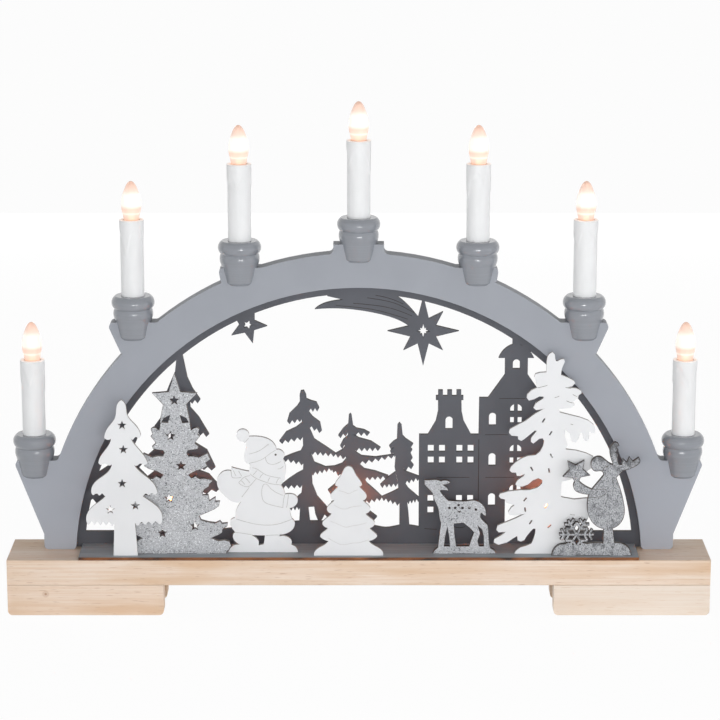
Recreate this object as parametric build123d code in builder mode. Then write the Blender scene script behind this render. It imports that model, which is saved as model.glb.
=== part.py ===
from build123d import *
import os
from math import asin, atan2, ceil, cos, pi, radians, sin, sqrt, tan

# A seven-light candle arch, in millimetres: X to the right, Y to the rear, Z up.
# The origin is on the ground, in the middle of the base.

# Base
plank_length = 450.0
plank_depth = 46.0
plank_thickness = 16.8
plank_edge_radius = 0.8
foot_length = 100.0
foot_depth = 12.0
foot_height = 20.0
foot_corner_radius = 3.0

# Arch
arch_inner_radius = 183.0
arch_width = 22.3
arch_thickness = 12.0
arch_setback = 23.7
arch_centre_drop = 10.1
ear_corner_radius = 3.0
ear_root_radius = 3.0
leg_corner_radius = 2.5

# Wire groove in the arch's rear face
groove_width = 5.0
groove_depth = 8.2
groove_outer_wall = 7.3

# Back panel, set in a rebate in the arch's rear
panel_thickness = 3.0
panel_rim = 5.0
rebate_width = 7.0
rebate_depth = 6.3
panel_clearance = 0.15

# Platform, between the arch's legs
platform_end_clearance = 3.6
platform_thickness = 2.0

# Figures on the platform
figure_thickness = 2.5
front_row_setback = 4.0
middle_row_setback = 8.0
rear_row_setback = 11.2
tab_width = 9.0
tab_clearance = 0.1
star_hole_radius = 3.1
white_tree_width = 47.7
white_tree_height = 102.6
glitter_tree_width = 61.2
glitter_tree_height = 119.3
gift_bringer_width = 51.6
gift_bringer_height = 81.5
small_tree_width = 43.8
small_tree_height = 59.2
fawn_width = 46.4
fawn_height = 50.0
tall_tree_width = 64.5
tall_tree_height = 133.2
moose_width = 55.7
moose_height = 75.6
fawn_tuck = 2.3

# Candle cup
cup_rise = 16.5
cup_skirt = 11.5
cup_rim_radius = 13.7
cup_top_radius = 11.3
cup_bead_radius = 12.7
cup_waist_radius = 12.0
cup_bottom_radius = 9.8
cup_edge_bevel = 1.6
cup_bore_depth = 12.5
cup_slot_clearance = 0.15
wire_hole_radius = 2.5

# Candle sleeve
sleeve_show = 49.0
sleeve_radius = 7.35
collar_radius = 7.85
collar_length = 9.0
sleeve_clearance = 0.1
mouth_radius = 6.95
mouth_depth = 5.0
ledge_radius = 5.0
drip_radius = 1.9
drip_stand = 0.3

# Screw lampholder
holder_radius = 6.0
holder_height = 21.0
holder_clearance = 0.2
holder_drop = 6.0
thread_clearance = 0.35
contact_radius = 1.5
contact_height = 0.8
scene_holder_rise = 8.0
flange_radius = 7.25
flange_thickness = 1.5

# Bulb
glass_radius = 6.55
glass_length = 28.0
glass_wall = 0.6
glass_sink = 3.5
cap_radius = 4.7
cap_skirt = 9.5
cap_length = 14.2
cap_tip_radius = 1.6
cap_gap = 0.1
stem_radius = 1.5
stem_height = 7.0
filament_width = 0.5
filament_height = 14.5
filament_half_span = 2.2

# Lamps behind the figures
scene_lamp_setback = 21.4

# Wiring
wire_radius = 0.8
wire_offset = 1.25
wire_bend_radius = 2.2
wire_step = 48.0
channel_width = 8.0
channel_depth = 5.0
splice_radius = 1.7
splice_length = 9.0
splice_gap = 3.0
splice_inset = 32.0

# One overrun serves all cuts
overrun = 1.0

# Levels and faces that follow from these
plank_top = foot_height + plank_thickness
plank_front = -plank_depth / 2
plank_rear = plank_depth / 2
platform_top = plank_top + platform_thickness
arch_outer_radius = arch_inner_radius + arch_width
arch_front = plank_front + arch_setback
arch_rear = arch_front + arch_thickness
arch_middle = arch_front + arch_thickness / 2
arch_centre = plank_top - arch_centre_drop
panel_front = arch_rear - rebate_depth
panel_opening_radius = arch_inner_radius - panel_rim
platform_half_length = sqrt(arch_inner_radius**2 - (platform_top - arch_centre) ** 2) - platform_end_clearance
rebate_radius = arch_inner_radius + rebate_width
groove_radius = arch_outer_radius - groove_outer_wall - groove_width / 2
scene_lamp_y = plank_front + scene_lamp_setback
channel_top = foot_height + channel_depth
sleeve_length = sleeve_show + cup_bore_depth
thread_bore_radius = cap_radius + thread_clearance
holder_bore_depth = cap_length + glass_sink - holder_drop + cap_gap + contact_height + thread_clearance

# Candle places, from left to right, as shares of the arch's outer radius from its centre
candle_x_shares = (-1.015, -0.698, -0.3668, 0, 0.3668, 0.698, 1.015)
bracket_top_shares = (0.339, 0.7813, 0.9542, 1.0268, 0.9542, 0.7813, 0.339)
wire_knee_shares = (0.085, 0.02, 0.02, 0, 0.02, 0.02, 0.085)

# Places of the lamps behind the figures, as shares of the platform's half length from its middle
scene_lamp_x_shares = (-0.6536, -0.0314, 0.6662)

ROUND = "round"
STRAIGHT = "straight"

os.makedirs("parts", exist_ok=True)


def keep(piece, name):
    """Labels a finished piece and writes its file."""
    piece.part.label = name
    export_step(piece.part, f"parts/{name}.step")


def upright(x, y, z):
    """A plane that faces the front, with its own Y axis along the part's Z."""
    return Plane(origin=(x, y, z), x_dir=(1, 0, 0), z_dir=(0, -1, 0))


def scaled(shares, width, height):
    return [(u * width, v * height) for u, v in shares]


def outline_face(sides, width, height):
    """A face inside a closed outline. Round sides are curves through their points."""
    corner = sides[-1][1][-1]
    with BuildSketch() as face:
        with BuildLine():
            for form, shares in sides:
                places = scaled([corner, *shares], width, height)
                corner = shares[-1]
                if form == ROUND:
                    Spline(*places)
                else:
                    Polyline(*places)
        make_face()
    return face.sketch


def polygon_face(shares, width, height):
    with BuildSketch() as face:
        Polygon(*scaled(shares, width, height), align=None)
    return face.sketch


def star_face(x, y, points, outer, inner, turn):
    """A star with its first point at the given turn from the X axis."""
    corners = []
    for step in range(2 * points):
        radius = inner if step % 2 else outer
        angle = radians(turn) + step * pi / points
        corners.append((x + radius * cos(angle), y + radius * sin(angle)))
    with BuildSketch() as face:
        Polygon(*corners, align=None)
    return face.sketch


def hem(start, end, teeth, drop_share):
    """Points of a jagged lower edge from start to end, with icicles that hang down."""
    points = []
    for step in range(1, 2 * teeth + 1):
        along = step / (2 * teeth)
        low = drop_share if step % 2 else 0
        points.append((start[0] + (end[0] - start[0]) * along, start[1] + (end[1] - start[1]) * along - low))
    return points


def candle_place(number):
    """The axis X and the bracket top Z of a candle, counted from the left."""
    x = candle_x_shares[number] * arch_outer_radius
    return x, arch_centre + bracket_top_shares[number] * arch_outer_radius


def scene_lamp_place(number):
    return scene_lamp_x_shares[number] * platform_half_length


# Base plank, with holes for the wires and the scene lamps and a wire channel below
def make_plank():
    leg_x = sqrt(groove_radius**2 - arch_centre_drop**2)
    with BuildPart() as plank:
        with BuildSketch(Plane.XY.offset(foot_height)):
            Rectangle(plank_length, plank_depth)
        extrude(amount=plank_thickness)
        fillet(plank.edges().filter_by(Axis.X), radius=plank_edge_radius)
        with BuildSketch(Plane.XY.offset(foot_height)):
            with Locations((0, scene_lamp_y)):
                Rectangle(2 * leg_x + groove_width, channel_width)
            with Locations((-leg_x, scene_lamp_y), (leg_x, scene_lamp_y)):
                Rectangle(groove_width, 2 * (arch_middle - scene_lamp_y) + groove_width)
        extrude(amount=channel_depth, mode=Mode.SUBTRACT)
        with BuildSketch(Plane.XY.offset(foot_height)):
            with Locations((-leg_x, arch_middle), (leg_x, arch_middle)):
                Circle(wire_hole_radius)
            for number in range(len(scene_lamp_x_shares)):
                with Locations((scene_lamp_place(number), scene_lamp_y)):
                    Circle(holder_radius + holder_clearance)
        extrude(amount=plank_thickness + overrun, mode=Mode.SUBTRACT)
    keep(plank, "base_plank")


# Foot blocks, with rounded lower corners
def make_feet():
    for side, x in (("left", -1), ("right", 1)):
        for row, y in (("front", plank_front), ("rear", plank_rear - foot_depth)):
            with BuildPart() as foot:
                with BuildSketch(upright(x * (plank_length - foot_length) / 2, y, 0)) as profile:
                    Rectangle(foot_length, foot_height, align=(Align.CENTER, Align.MIN))
                    fillet(profile.vertices().group_by(Axis.Y)[0], radius=foot_corner_radius)
                extrude(amount=-foot_depth)
            keep(foot, f"foot_{row}_{side}")


# Arch, in shares of its outer radius from its centre
leg_side_share = 0.9898
leg_top_share = 0.0994
low_ear_shares = [(0.88, 0.339), (1.08, 0.339), (leg_side_share, leg_top_share), (0.93, leg_top_share)]
leg_waste_shares = [
    (leg_side_share, 0), (leg_side_share, leg_top_share), low_ear_shares[1], (1.2, 0.339), (1.2, 0),
]
side_ear_shares = [(0.55, 0.7813), (0.7793, 0.7813), (0.7375, 0.6858), (0.66, 0.64)]
top_ear_shares = [(0.22, 0.9542), (0.432, 0.9542), (0.4252, 0.9128), (0.38, 0.86)]
centre_bracket_half_share = 0.078
centre_bracket_foot_share = 0.95


def ear_face(shares):
    """One bracket on the arch's right, with its outer corner rounded."""
    with BuildSketch() as ear:
        Polygon(*scaled(shares, arch_outer_radius, arch_outer_radius), align=None)
        fillet(ear.vertices().sort_by(Axis.X)[-1], radius=ear_corner_radius)
    return ear.sketch


def ring_crossing(height_share):
    """X where a bracket's top meets the arch's outer edge."""
    return arch_outer_radius * sqrt(1 - height_share**2)


def wire_knee(number):
    """Where a candle's wires leave the upright and head for the arch's centre, from that centre."""
    x, top = candle_place(number)
    return x, top - arch_centre - wire_knee_shares[number] * arch_outer_radius


def wire_entry_angle(number):
    x, height = wire_knee(number)
    return atan2(height, x)


def make_arch():
    ears = [ear_face(shares) for shares in (low_ear_shares, side_ear_shares, top_ear_shares)]
    leg_side = leg_side_share * arch_outer_radius
    leg_foot = arch_centre_drop
    front_plane = upright(0, arch_front, arch_centre)
    rear_plane = upright(0, arch_rear, arch_centre)
    with BuildPart() as arch:
        with BuildSketch(front_plane) as outline:
            Circle(arch_outer_radius)
            add(ears)
            mirror(about=Plane.YZ)
            with Locations((0, centre_bracket_foot_share * arch_outer_radius)):
                bracket_height = (bracket_top_shares[3] - centre_bracket_foot_share) * arch_outer_radius
                bracket_width = 2 * centre_bracket_half_share * arch_outer_radius
                Rectangle(bracket_width, bracket_height, align=(Align.CENTER, Align.MIN))
            Circle(arch_inner_radius, mode=Mode.SUBTRACT)
            with Locations((0, leg_foot)):
                below = (3 * arch_outer_radius, 2 * arch_outer_radius)
                Rectangle(*below, align=(Align.CENTER, Align.MAX), mode=Mode.SUBTRACT)
            for side in (-1, 1):
                waste = [(side * u, v) for u, v in leg_waste_shares]
                Polygon(*scaled(waste, arch_outer_radius, arch_outer_radius), align=None, mode=Mode.SUBTRACT)
            roots = []
            for share in (bracket_top_shares[4], bracket_top_shares[5], bracket_top_shares[6]):
                for side in (-1, 1):
                    roots.append((side * ring_crossing(share), share * arch_outer_radius))
            bracket_x = centre_bracket_half_share * arch_outer_radius
            for side in (-1, 1):
                roots.append((side * bracket_x, sqrt(arch_outer_radius**2 - bracket_x**2)))
            for root in roots:
                fillet(outline.vertices().sort_by_distance(Vector(*root))[0], radius=ear_root_radius)
            for side in (-1, 1):
                for corner in (leg_side, sqrt(arch_inner_radius**2 - leg_foot**2)):
                    foot = Vector(side * corner, leg_foot)
                    fillet(outline.vertices().sort_by_distance(foot)[0], radius=leg_corner_radius)
        extrude(amount=-arch_thickness)
        with BuildSketch(rear_plane):
            Circle(rebate_radius)
        extrude(amount=rebate_depth, mode=Mode.SUBTRACT)
        with BuildSketch(rear_plane):
            Circle(groove_radius + groove_width / 2)
            Circle(groove_radius - groove_width / 2, mode=Mode.SUBTRACT)
        extrude(amount=groove_depth, mode=Mode.SUBTRACT)
        with BuildSketch(rear_plane):
            for number in range(len(candle_x_shares)):
                x, top = candle_place(number)
                knee = wire_knee(number)
                angle = wire_entry_angle(number)
                foot = (groove_radius * cos(angle), groove_radius * sin(angle))
                corners = [knee, foot] if wire_knee_shares[number] else [foot]
                with BuildLine():
                    Polyline((x, top - arch_centre + overrun), *corners)
                trace(line_width=groove_width)
                with Locations(knee):
                    Circle(groove_width / 2)
        extrude(amount=groove_depth, mode=Mode.SUBTRACT)
    keep(arch, "arch")


# Back panel: every outline is in shares of the panel opening's radius, from the plank's top
hill_shares = [
    (-0.62, 0.058), (-0.45, 0.07), (-0.30, 0.088), (-0.15, 0.096), (-0.03, 0.088), (0.05, 0.08),
    (0.10, 0.071), (0.16, 0.081), (0.22, 0.074), (0.40, 0.06), (0.62, 0.058),
]
sill_share = 0.058
house_shares = [
    (0.218, 0.03), (0.218, 0.423), (0.25, 0.423), (0.278, 0.472), (0.286, 0.51), (0.286, 0.551),
    (0.278, 0.551), (0.278, 0.567), (0.286, 0.567), (0.286, 0.588), (0.303, 0.588), (0.303, 0.567),
    (0.319, 0.567), (0.319, 0.588), (0.336, 0.588), (0.336, 0.567), (0.352, 0.567), (0.352, 0.588),
    (0.369, 0.588), (0.369, 0.567), (0.377, 0.567), (0.377, 0.551), (0.370, 0.551), (0.371, 0.51),
    (0.379, 0.472), (0.405, 0.423), (0.434, 0.423), (0.434, 0.03),
]
town_hall_shares = [
    (0.43, 0.03), (0.434, 0.56), (0.466, 0.56), (0.525, 0.645), (0.525, 0.707), (0.607, 0.707),
    (0.607, 0.645), (0.666, 0.56), (0.698, 0.56), (0.698, 0.03),
]
dome_sides_shares = [
    (ROUND, [(0.520, 0.736), (0.551, 0.756)]),
    (STRAIGHT, [(0.551, 0.80), (0.58, 0.80), (0.58, 0.756)]),
    (ROUND, [(0.609, 0.736), (0.629, 0.707)]),
    (STRAIGHT, [(0.502, 0.707)]),
]
house_window_column_shares = (0.25, 0.2905, 0.3535, 0.394)
house_window_row_shares = (0.126, 0.17, 0.3145, 0.3585)
house_window_width_share = 0.0215
house_window_height_share = 0.0255
arched_window_shares = (
    (0.326, 0.443, 0.047), (0.4825, 0.155, 0.047), (0.4825, 0.306, 0.047), (0.4825, 0.457, 0.047),
    (0.6495, 0.155, 0.047), (0.6495, 0.306, 0.047), (0.6495, 0.457, 0.047), (0.566, 0.667, 0.035),
)
arched_window_half_share = 0.0128
hall_pane_shares = ((0.546, 0.56), (0.573, 0.588))
hall_square_row_shares = ((0.314, 0.337), (0.465, 0.488))
hall_arched_row_shares = ((0.208, 0.236), (0.357, 0.386), (0.508, 0.537))
hall_arch_share = 0.0222
gate_shares = ((0.531, 0.065), (0.601, 0.185))
comet_star_share = (0.231, 0.806)
comet_long_share = 0.128
comet_short_share = 0.1
comet_inner_share = 0.05
comet_hole_shares = (0.025, 0.018, 0.011)
comet_tail_shares = [
    (ROUND, [(0.15, 0.843), (0.10, 0.862), (0.03, 0.878), (-0.05, 0.888), (-0.157, 0.886)]),
    (ROUND, [(-0.135, 0.902), (-0.10, 0.914), (-0.055, 0.921)]),
    (STRAIGHT, [(-0.112, 0.934), (-0.09, 0.96), (0.11, 0.96), (0.122, 0.942)]),
    (ROUND, [(0.155, 0.92), (0.19, 0.885), (0.216, 0.853)]),
    (STRAIGHT, [(0.231, 0.806), (0.183, 0.822)]),
]
small_star_share = (-0.397, 0.828)
small_star_outer_share = 0.07
small_star_inner_share = 0.03
small_star_hole_share = 0.017
small_star_turn = -3
icicle_share = 0.013

# Each spruce has a trunk, from the tip round to the foot, and boughs: the upper edge from the root to
# the tip, the root of the lower edge and the number of icicles
behind_trunk_shares = [
    (-0.652, 0.72), (-0.632, 0.72), (-0.616, 0.638), (-0.607, 0.54), (-0.60, 0.40), (-0.60, 0.05),
    (-0.68, 0.05), (-0.68, 0.40), (-0.672, 0.54), (-0.662, 0.638),
]
behind_bough_shares = [
    ([(-0.618, 0.64), (-0.597, 0.593), (-0.570, 0.553)], (-0.609, 0.549), 2),
    ([(-0.612, 0.53), (-0.576, 0.487), (-0.540, 0.424)], (-0.604, 0.44), 3),
    ([(-0.605, 0.40), (-0.548, 0.364), (-0.519, 0.30)], (-0.602, 0.305), 3),
    ([(-0.602, 0.297), (-0.543, 0.274), (-0.50, 0.224)], (-0.602, 0.2), 3),
    ([(-0.658, 0.66), (-0.68, 0.61), (-0.698, 0.565)], (-0.67, 0.549), 2),
    ([(-0.67, 0.53), (-0.71, 0.49), (-0.738, 0.452)], (-0.678, 0.43), 3),
    ([(-0.675, 0.40), (-0.73, 0.374), (-0.766, 0.342)], (-0.68, 0.315), 3),
    ([(-0.675, 0.31), (-0.73, 0.293), (-0.768, 0.262)], (-0.68, 0.22), 3),
]
left_trunk_shares = [
    (-0.868, 0.505), (-0.856, 0.505), (-0.838, 0.45), (-0.83, 0.37), (-0.825, 0.25), (-0.822, 0.05),
    (-0.882, 0.05), (-0.886, 0.25), (-0.886, 0.37), (-0.884, 0.45),
]
left_bough_shares = [
    ([(-0.843, 0.47), (-0.822, 0.438), (-0.8, 0.405)], (-0.834, 0.388), 2),
    ([(-0.834, 0.375), (-0.81, 0.344), (-0.784, 0.312)], (-0.83, 0.31), 2),
    ([(-0.83, 0.322), (-0.8, 0.3), (-0.766, 0.264)], (-0.826, 0.225), 3),
    ([(-0.826, 0.235), (-0.79, 0.22), (-0.755, 0.2)], (-0.824, 0.135), 3),
    ([(-0.88, 0.46), (-0.9, 0.44), (-0.925, 0.415)], (-0.885, 0.385), 2),
    ([(-0.884, 0.325), (-0.905, 0.306), (-0.935, 0.286), (-0.972, 0.262)], (-0.885, 0.235), 3),
    ([(-0.884, 0.215), (-0.92, 0.202), (-0.955, 0.196), (-0.992, 0.19)], (-0.885, 0.155), 4),
]
tall_trunk_shares = [
    (-0.2085, 0.585), (-0.197, 0.587), (-0.189, 0.57), (-0.184, 0.52), (-0.183, 0.46), (-0.176, 0.365),
    (-0.170, 0.29), (-0.1675, 0.235), (-0.15, 0.19), (-0.12, 0.155), (-0.097, 0.125), (-0.115, 0.112),
    (-0.124, 0.122), (-0.133, 0.104), (-0.145, 0.09), (-0.158, 0.125), (-0.162, 0.152), (-0.183, 0.15),
    (-0.172, 0.05), (-0.219, 0.05), (-0.213, 0.155), (-0.204, 0.24), (-0.2, 0.33), (-0.202, 0.42),
    (-0.206, 0.48), (-0.212, 0.545), (-0.2125, 0.57),
]
tall_bough_shares = [
    ([(-0.188, 0.556), (-0.172, 0.549), (-0.152, 0.543), (-0.142, 0.522)], (-0.188, 0.519), 3),
    ([(-0.186, 0.516), (-0.166, 0.489), (-0.139, 0.468), (-0.133, 0.437)], (-0.188, 0.462), 3),
    ([(-0.183, 0.46), (-0.160, 0.405), (-0.12, 0.378), (-0.082, 0.351)], (-0.195, 0.362), 6),
    ([(-0.176, 0.36), (-0.160, 0.318), (-0.12, 0.301), (-0.075, 0.305)], (-0.19, 0.275), 7),
    ([(-0.208, 0.55), (-0.222, 0.528), (-0.25, 0.5), (-0.258, 0.472)], (-0.203, 0.484), 3),
    ([(-0.203, 0.468), (-0.225, 0.45), (-0.262, 0.432), (-0.287, 0.398)], (-0.200, 0.416), 4),
    ([(-0.198, 0.385), (-0.21, 0.36), (-0.24, 0.35), (-0.274, 0.335)], (-0.198, 0.318), 4),
    ([(-0.198, 0.29), (-0.225, 0.275), (-0.25, 0.258), (-0.285, 0.23)], (-0.203, 0.235), 4),
    ([(-0.203, 0.205), (-0.22, 0.19), (-0.24, 0.168), (-0.252, 0.148)], (-0.211, 0.152), 3),
]
middle_trunk_shares = [
    (-0.0355, 0.495), (-0.03, 0.501), (-0.0255, 0.495), (-0.02, 0.455), (-0.012, 0.36), (0.005, 0.30),
    (0.018, 0.255), (0.0, 0.05), (-0.07, 0.05), (-0.06, 0.25), (-0.045, 0.31), (-0.04, 0.40),
    (-0.038, 0.46),
]
middle_bough_shares = [
    ([(-0.022, 0.456), (-0.008, 0.446), (0.02, 0.440), (0.040, 0.429)], (-0.022, 0.432), 3),
    ([(-0.022, 0.425), (0.0, 0.410), (0.045, 0.397), (0.079, 0.374)], (-0.018, 0.372), 5),
    ([(-0.018, 0.362), (0.01, 0.343), (0.06, 0.338), (0.13, 0.348)], (-0.01, 0.318), 6),
    ([(0.0, 0.313), (0.02, 0.294), (0.06, 0.285), (0.107, 0.268)], (0.012, 0.262), 5),
    ([(0.012, 0.265), (0.03, 0.24), (0.06, 0.213), (0.085, 0.188)], (0.01, 0.17), 4),
    ([(0.0, 0.16), (0.03, 0.142), (0.067, 0.113)], (0.0, 0.09), 2),
    ([(-0.036, 0.463), (-0.056, 0.445), (-0.074, 0.419)], (-0.038, 0.432), 2),
    ([(-0.036, 0.42), (-0.056, 0.403), (-0.067, 0.38)], (-0.036, 0.388), 2),
    ([(-0.036, 0.395), (-0.058, 0.366), (-0.084, 0.351)], (-0.03, 0.335), 3),
    ([(-0.04, 0.338), (-0.06, 0.314), (-0.10, 0.299)], (-0.05, 0.262), 3),
    ([(-0.055, 0.245), (-0.085, 0.237), (-0.112, 0.214)], (-0.06, 0.19), 2),
    ([(-0.055, 0.18), (-0.08, 0.178), (-0.10, 0.168)], (-0.06, 0.14), 2),
]
low_trunk_shares = [
    (0.14, 0.458), (0.147, 0.467), (0.155, 0.458), (0.159, 0.42), (0.163, 0.295), (0.16, 0.25),
    (0.176, 0.17), (0.181, 0.13), (0.187, 0.05), (0.148, 0.05), (0.148, 0.17), (0.141, 0.25), (0.13, 0.30),
    (0.138, 0.40),
]
low_bough_shares = [
    ([(0.158, 0.42), (0.17, 0.407), (0.197, 0.388)], (0.158, 0.376), 2),
    ([(0.158, 0.388), (0.18, 0.38), (0.194, 0.366)], (0.158, 0.356), 2),
    ([(0.158, 0.37), (0.184, 0.36), (0.195, 0.335)], (0.158, 0.334), 2),
    ([(0.158, 0.342), (0.18, 0.332), (0.199, 0.308)], (0.162, 0.297), 2),
    ([(0.16, 0.292), (0.175, 0.282), (0.222, 0.264)], (0.16, 0.245), 4),
    ([(0.16, 0.25), (0.18, 0.22), (0.222, 0.183)], (0.175, 0.172), 4),
    ([(0.14, 0.405), (0.125, 0.396), (0.11, 0.38)], (0.14, 0.372), 2),
    ([(0.14, 0.375), (0.126, 0.372), (0.114, 0.36)], (0.135, 0.348), 2),
    ([(0.133, 0.282), (0.107, 0.263), (0.078, 0.234)], (0.142, 0.24), 4),
    ([(0.148, 0.22), (0.12, 0.205), (0.083, 0.188)], (0.148, 0.165), 4),
]


def bough_face(upper, root, teeth):
    """A hanging bough: its upper edge bends from the trunk to its tip, its lower edge has icicles."""
    corners = [*upper, *hem(upper[-1], root, teeth, icicle_share)]
    return polygon_face(corners, panel_opening_radius, panel_opening_radius)


def spruce_faces(trunk_shares, bough_shares):
    faces = [polygon_face(trunk_shares, panel_opening_radius, panel_opening_radius)]
    for upper, root, teeth in bough_shares:
        faces.append(bough_face(upper, root, teeth))
    return faces


def hall_panes(low, high, arched):
    """Two panes side by side in the town hall. An arched pair has a round head."""
    size = panel_opening_radius
    middle = (hall_pane_shares[0][0] + hall_pane_shares[1][1]) / 2
    with BuildSketch() as panes:
        for left, right in hall_pane_shares:
            with Locations((left * size, low * size)):
                Rectangle((right - left) * size, (high - low) * size, align=(Align.MIN, Align.MIN))
        if arched:
            with Locations((middle * size, (high - hall_arch_share) * size)):
                Circle(hall_arch_share * size, mode=Mode.INTERSECT)
    return panes.sketch


def window_faces():
    """The cut-outs in the two houses."""
    size = panel_opening_radius
    with BuildSketch() as windows:
        for column in house_window_column_shares:
            for row in house_window_row_shares:
                with Locations((column * size, row * size)):
                    pane = (house_window_width_share * size, house_window_height_share * size)
                    Rectangle(*pane, align=(Align.MIN, Align.MIN))
        for middle, foot, height in arched_window_shares:
            half = arched_window_half_share * size
            with Locations((middle * size, foot * size)):
                Rectangle(2 * half, height * size - half, align=(Align.CENTER, Align.MIN))
            with Locations((middle * size, (foot + height) * size - half)):
                Circle(half)
        for low, high in hall_square_row_shares:
            add(hall_panes(low, high, False))
        for low, high in hall_arched_row_shares:
            add(hall_panes(low, high, True))
        (gate_left, gate_foot), (gate_right, gate_top) = gate_shares
        with Locations((gate_left * size, gate_foot * size)):
            gate = ((gate_right - gate_left) * size, (gate_top - gate_foot) * size)
            Rectangle(*gate, align=(Align.MIN, Align.MIN))
    return windows.sketch


def comet_face():
    """Eight points, long and short by turns, with a hole of the same form, and a tail to the rim."""
    size = panel_opening_radius
    x, z = comet_star_share[0] * size, comet_star_share[1] * size
    hole_long, hole_short, hole_inner = comet_hole_shares
    with BuildSketch() as comet:
        add(outline_face(comet_tail_shares, size, size))
        for turn, outer, hole in ((0, comet_long_share, hole_long), (45, comet_short_share, hole_short)):
            add(star_face(x, z, 4, outer * size, comet_inner_share * size * cos(pi / 4), turn))
        add(star_face(x, z, 8, comet_inner_share * size, comet_inner_share * size * cos(pi / 8), 0))
        for turn, hole in ((0, hole_long), (45, hole_short)):
            add(star_face(x, z, 4, hole * size, hole_inner * size * cos(pi / 4), turn), mode=Mode.SUBTRACT)
        add(star_face(x, z, 8, hole_inner * size, hole_inner * size * cos(pi / 8), 0), mode=Mode.SUBTRACT)
    return comet.sketch


def make_back_panel():
    size = panel_opening_radius
    outer = rebate_radius - panel_clearance
    hills = [(STRAIGHT, [(-1, 0), (-1, sill_share), hill_shares[0]]), (ROUND, hill_shares[1:])]
    hills.append((STRAIGHT, [(1, sill_share), (1, 0)]))
    motifs = [outline_face(hills, size, size), polygon_face(house_shares, size, size)]
    motifs += [polygon_face(town_hall_shares, size, size), outline_face(dome_sides_shares, size, size)]
    for trunk, boughs in (
        (left_trunk_shares, left_bough_shares),
        (behind_trunk_shares, behind_bough_shares),
        (tall_trunk_shares, tall_bough_shares),
        (middle_trunk_shares, middle_bough_shares),
        (low_trunk_shares, low_bough_shares),
    ):
        motifs += spruce_faces(trunk, boughs)
    star_x, star_z = small_star_share[0] * size, small_star_share[1] * size
    motifs.append(comet_face())
    star_outer, star_inner = small_star_outer_share * size, small_star_inner_share * size
    motifs.append(star_face(star_x, star_z, 5, star_outer, star_inner, small_star_turn))
    hole_radius = small_star_hole_share * size
    star_hole = star_face(star_x, star_z, 5, hole_radius, hole_radius / 2, small_star_turn)
    windows = window_faces()
    with BuildPart() as panel:
        with BuildSketch(upright(0, panel_front, plank_top)):
            with Locations((0, -arch_centre_drop)):
                Circle(outer)
                Circle(size, mode=Mode.SUBTRACT)
            add(motifs)
            add(windows, mode=Mode.SUBTRACT)
            add(star_hole, mode=Mode.SUBTRACT)
            with Locations((0, -arch_centre_drop)):
                Circle(outer, mode=Mode.INTERSECT)
            Rectangle(3 * outer, 2 * outer, align=(Align.CENTER, Align.MAX), mode=Mode.SUBTRACT)
        extrude(amount=-panel_thickness)
    keep(panel, "back_panel")


# Figures: each stands in the platform on tabs. Its outline is in shares of its own width and height.
# Left edges are shares of the platform's half length from its middle, tabs are shares of the figure's width.
# The fawn's foot is tucked under the tall tree's lowest bough
white_tree_left_share = -0.9626
white_tree_tab_shares = (0.485,)
glitter_tree_left_share = -0.7972
glitter_tree_tab_shares = (0.25, 0.7)
gift_bringer_left_share = -0.5056
gift_bringer_tab_shares = (0.3, 0.78)
small_tree_left_share = -0.157
small_tree_tab_shares = (0.3, 0.7)
fawn_tab_shares = (0.3, 0.8)
tall_tree_left_share = 0.4804
tall_tree_tab_shares = (0.36, 0.62)
moose_left_share = 0.6888
moose_tab_shares = (0.2, 0.75)


class Figure:
    """A figure's name, size and place, and the places of its tabs."""

    def __init__(self, name, width, height, setback, left, tab_shares):
        self.name = name
        self.left = left
        self.width = width
        self.height = height
        self.front = plank_front + setback
        self.tabs = [self.left + share * width for share in tab_shares]


white_tree = Figure(
    "white_tree", white_tree_width, white_tree_height, front_row_setback,
    white_tree_left_share * platform_half_length, white_tree_tab_shares,
)
glitter_tree = Figure(
    "glitter_tree", glitter_tree_width, glitter_tree_height, middle_row_setback,
    glitter_tree_left_share * platform_half_length, glitter_tree_tab_shares,
)
gift_bringer = Figure(
    "gift_bringer", gift_bringer_width, gift_bringer_height, rear_row_setback,
    gift_bringer_left_share * platform_half_length, gift_bringer_tab_shares,
)
small_tree = Figure(
    "small_tree", small_tree_width, small_tree_height, front_row_setback,
    small_tree_left_share * platform_half_length, small_tree_tab_shares,
)
tall_tree = Figure(
    "tall_tree", tall_tree_width, tall_tree_height, middle_row_setback,
    tall_tree_left_share * platform_half_length, tall_tree_tab_shares,
)
fawn = Figure(
    "fawn", fawn_width, fawn_height, middle_row_setback,
    tall_tree.left + fawn_tuck - fawn_width, fawn_tab_shares,
)
moose = Figure(
    "moose", moose_width, moose_height, front_row_setback,
    moose_left_share * platform_half_length, moose_tab_shares,
)
figures = (white_tree, glitter_tree, gift_bringer, small_tree, fawn, tall_tree, moose)


def make_figure(figure, faces, holes):
    """Cuts a figure from board, with its tabs."""
    with BuildPart() as piece:
        with BuildSketch(upright(figure.left, figure.front, platform_top)):
            add(faces)
            if holes:
                add(holes, mode=Mode.SUBTRACT)
            for tab in figure.tabs:
                with Locations((tab - figure.left, 0)):
                    Rectangle(tab_width, platform_thickness, align=(Align.CENTER, Align.MAX))
        extrude(amount=-figure_thickness)
    keep(piece, figure.name)


star_hole_inner_share = 0.42
star_upright_turn = 90


def star_holes(figure, shares):
    holes = []
    inner = star_hole_inner_share * star_hole_radius
    for u, v in shares:
        place = (u * figure.width, v * figure.height)
        holes.append(star_face(*place, 5, star_hole_radius, inner, star_upright_turn))
    return holes


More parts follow.
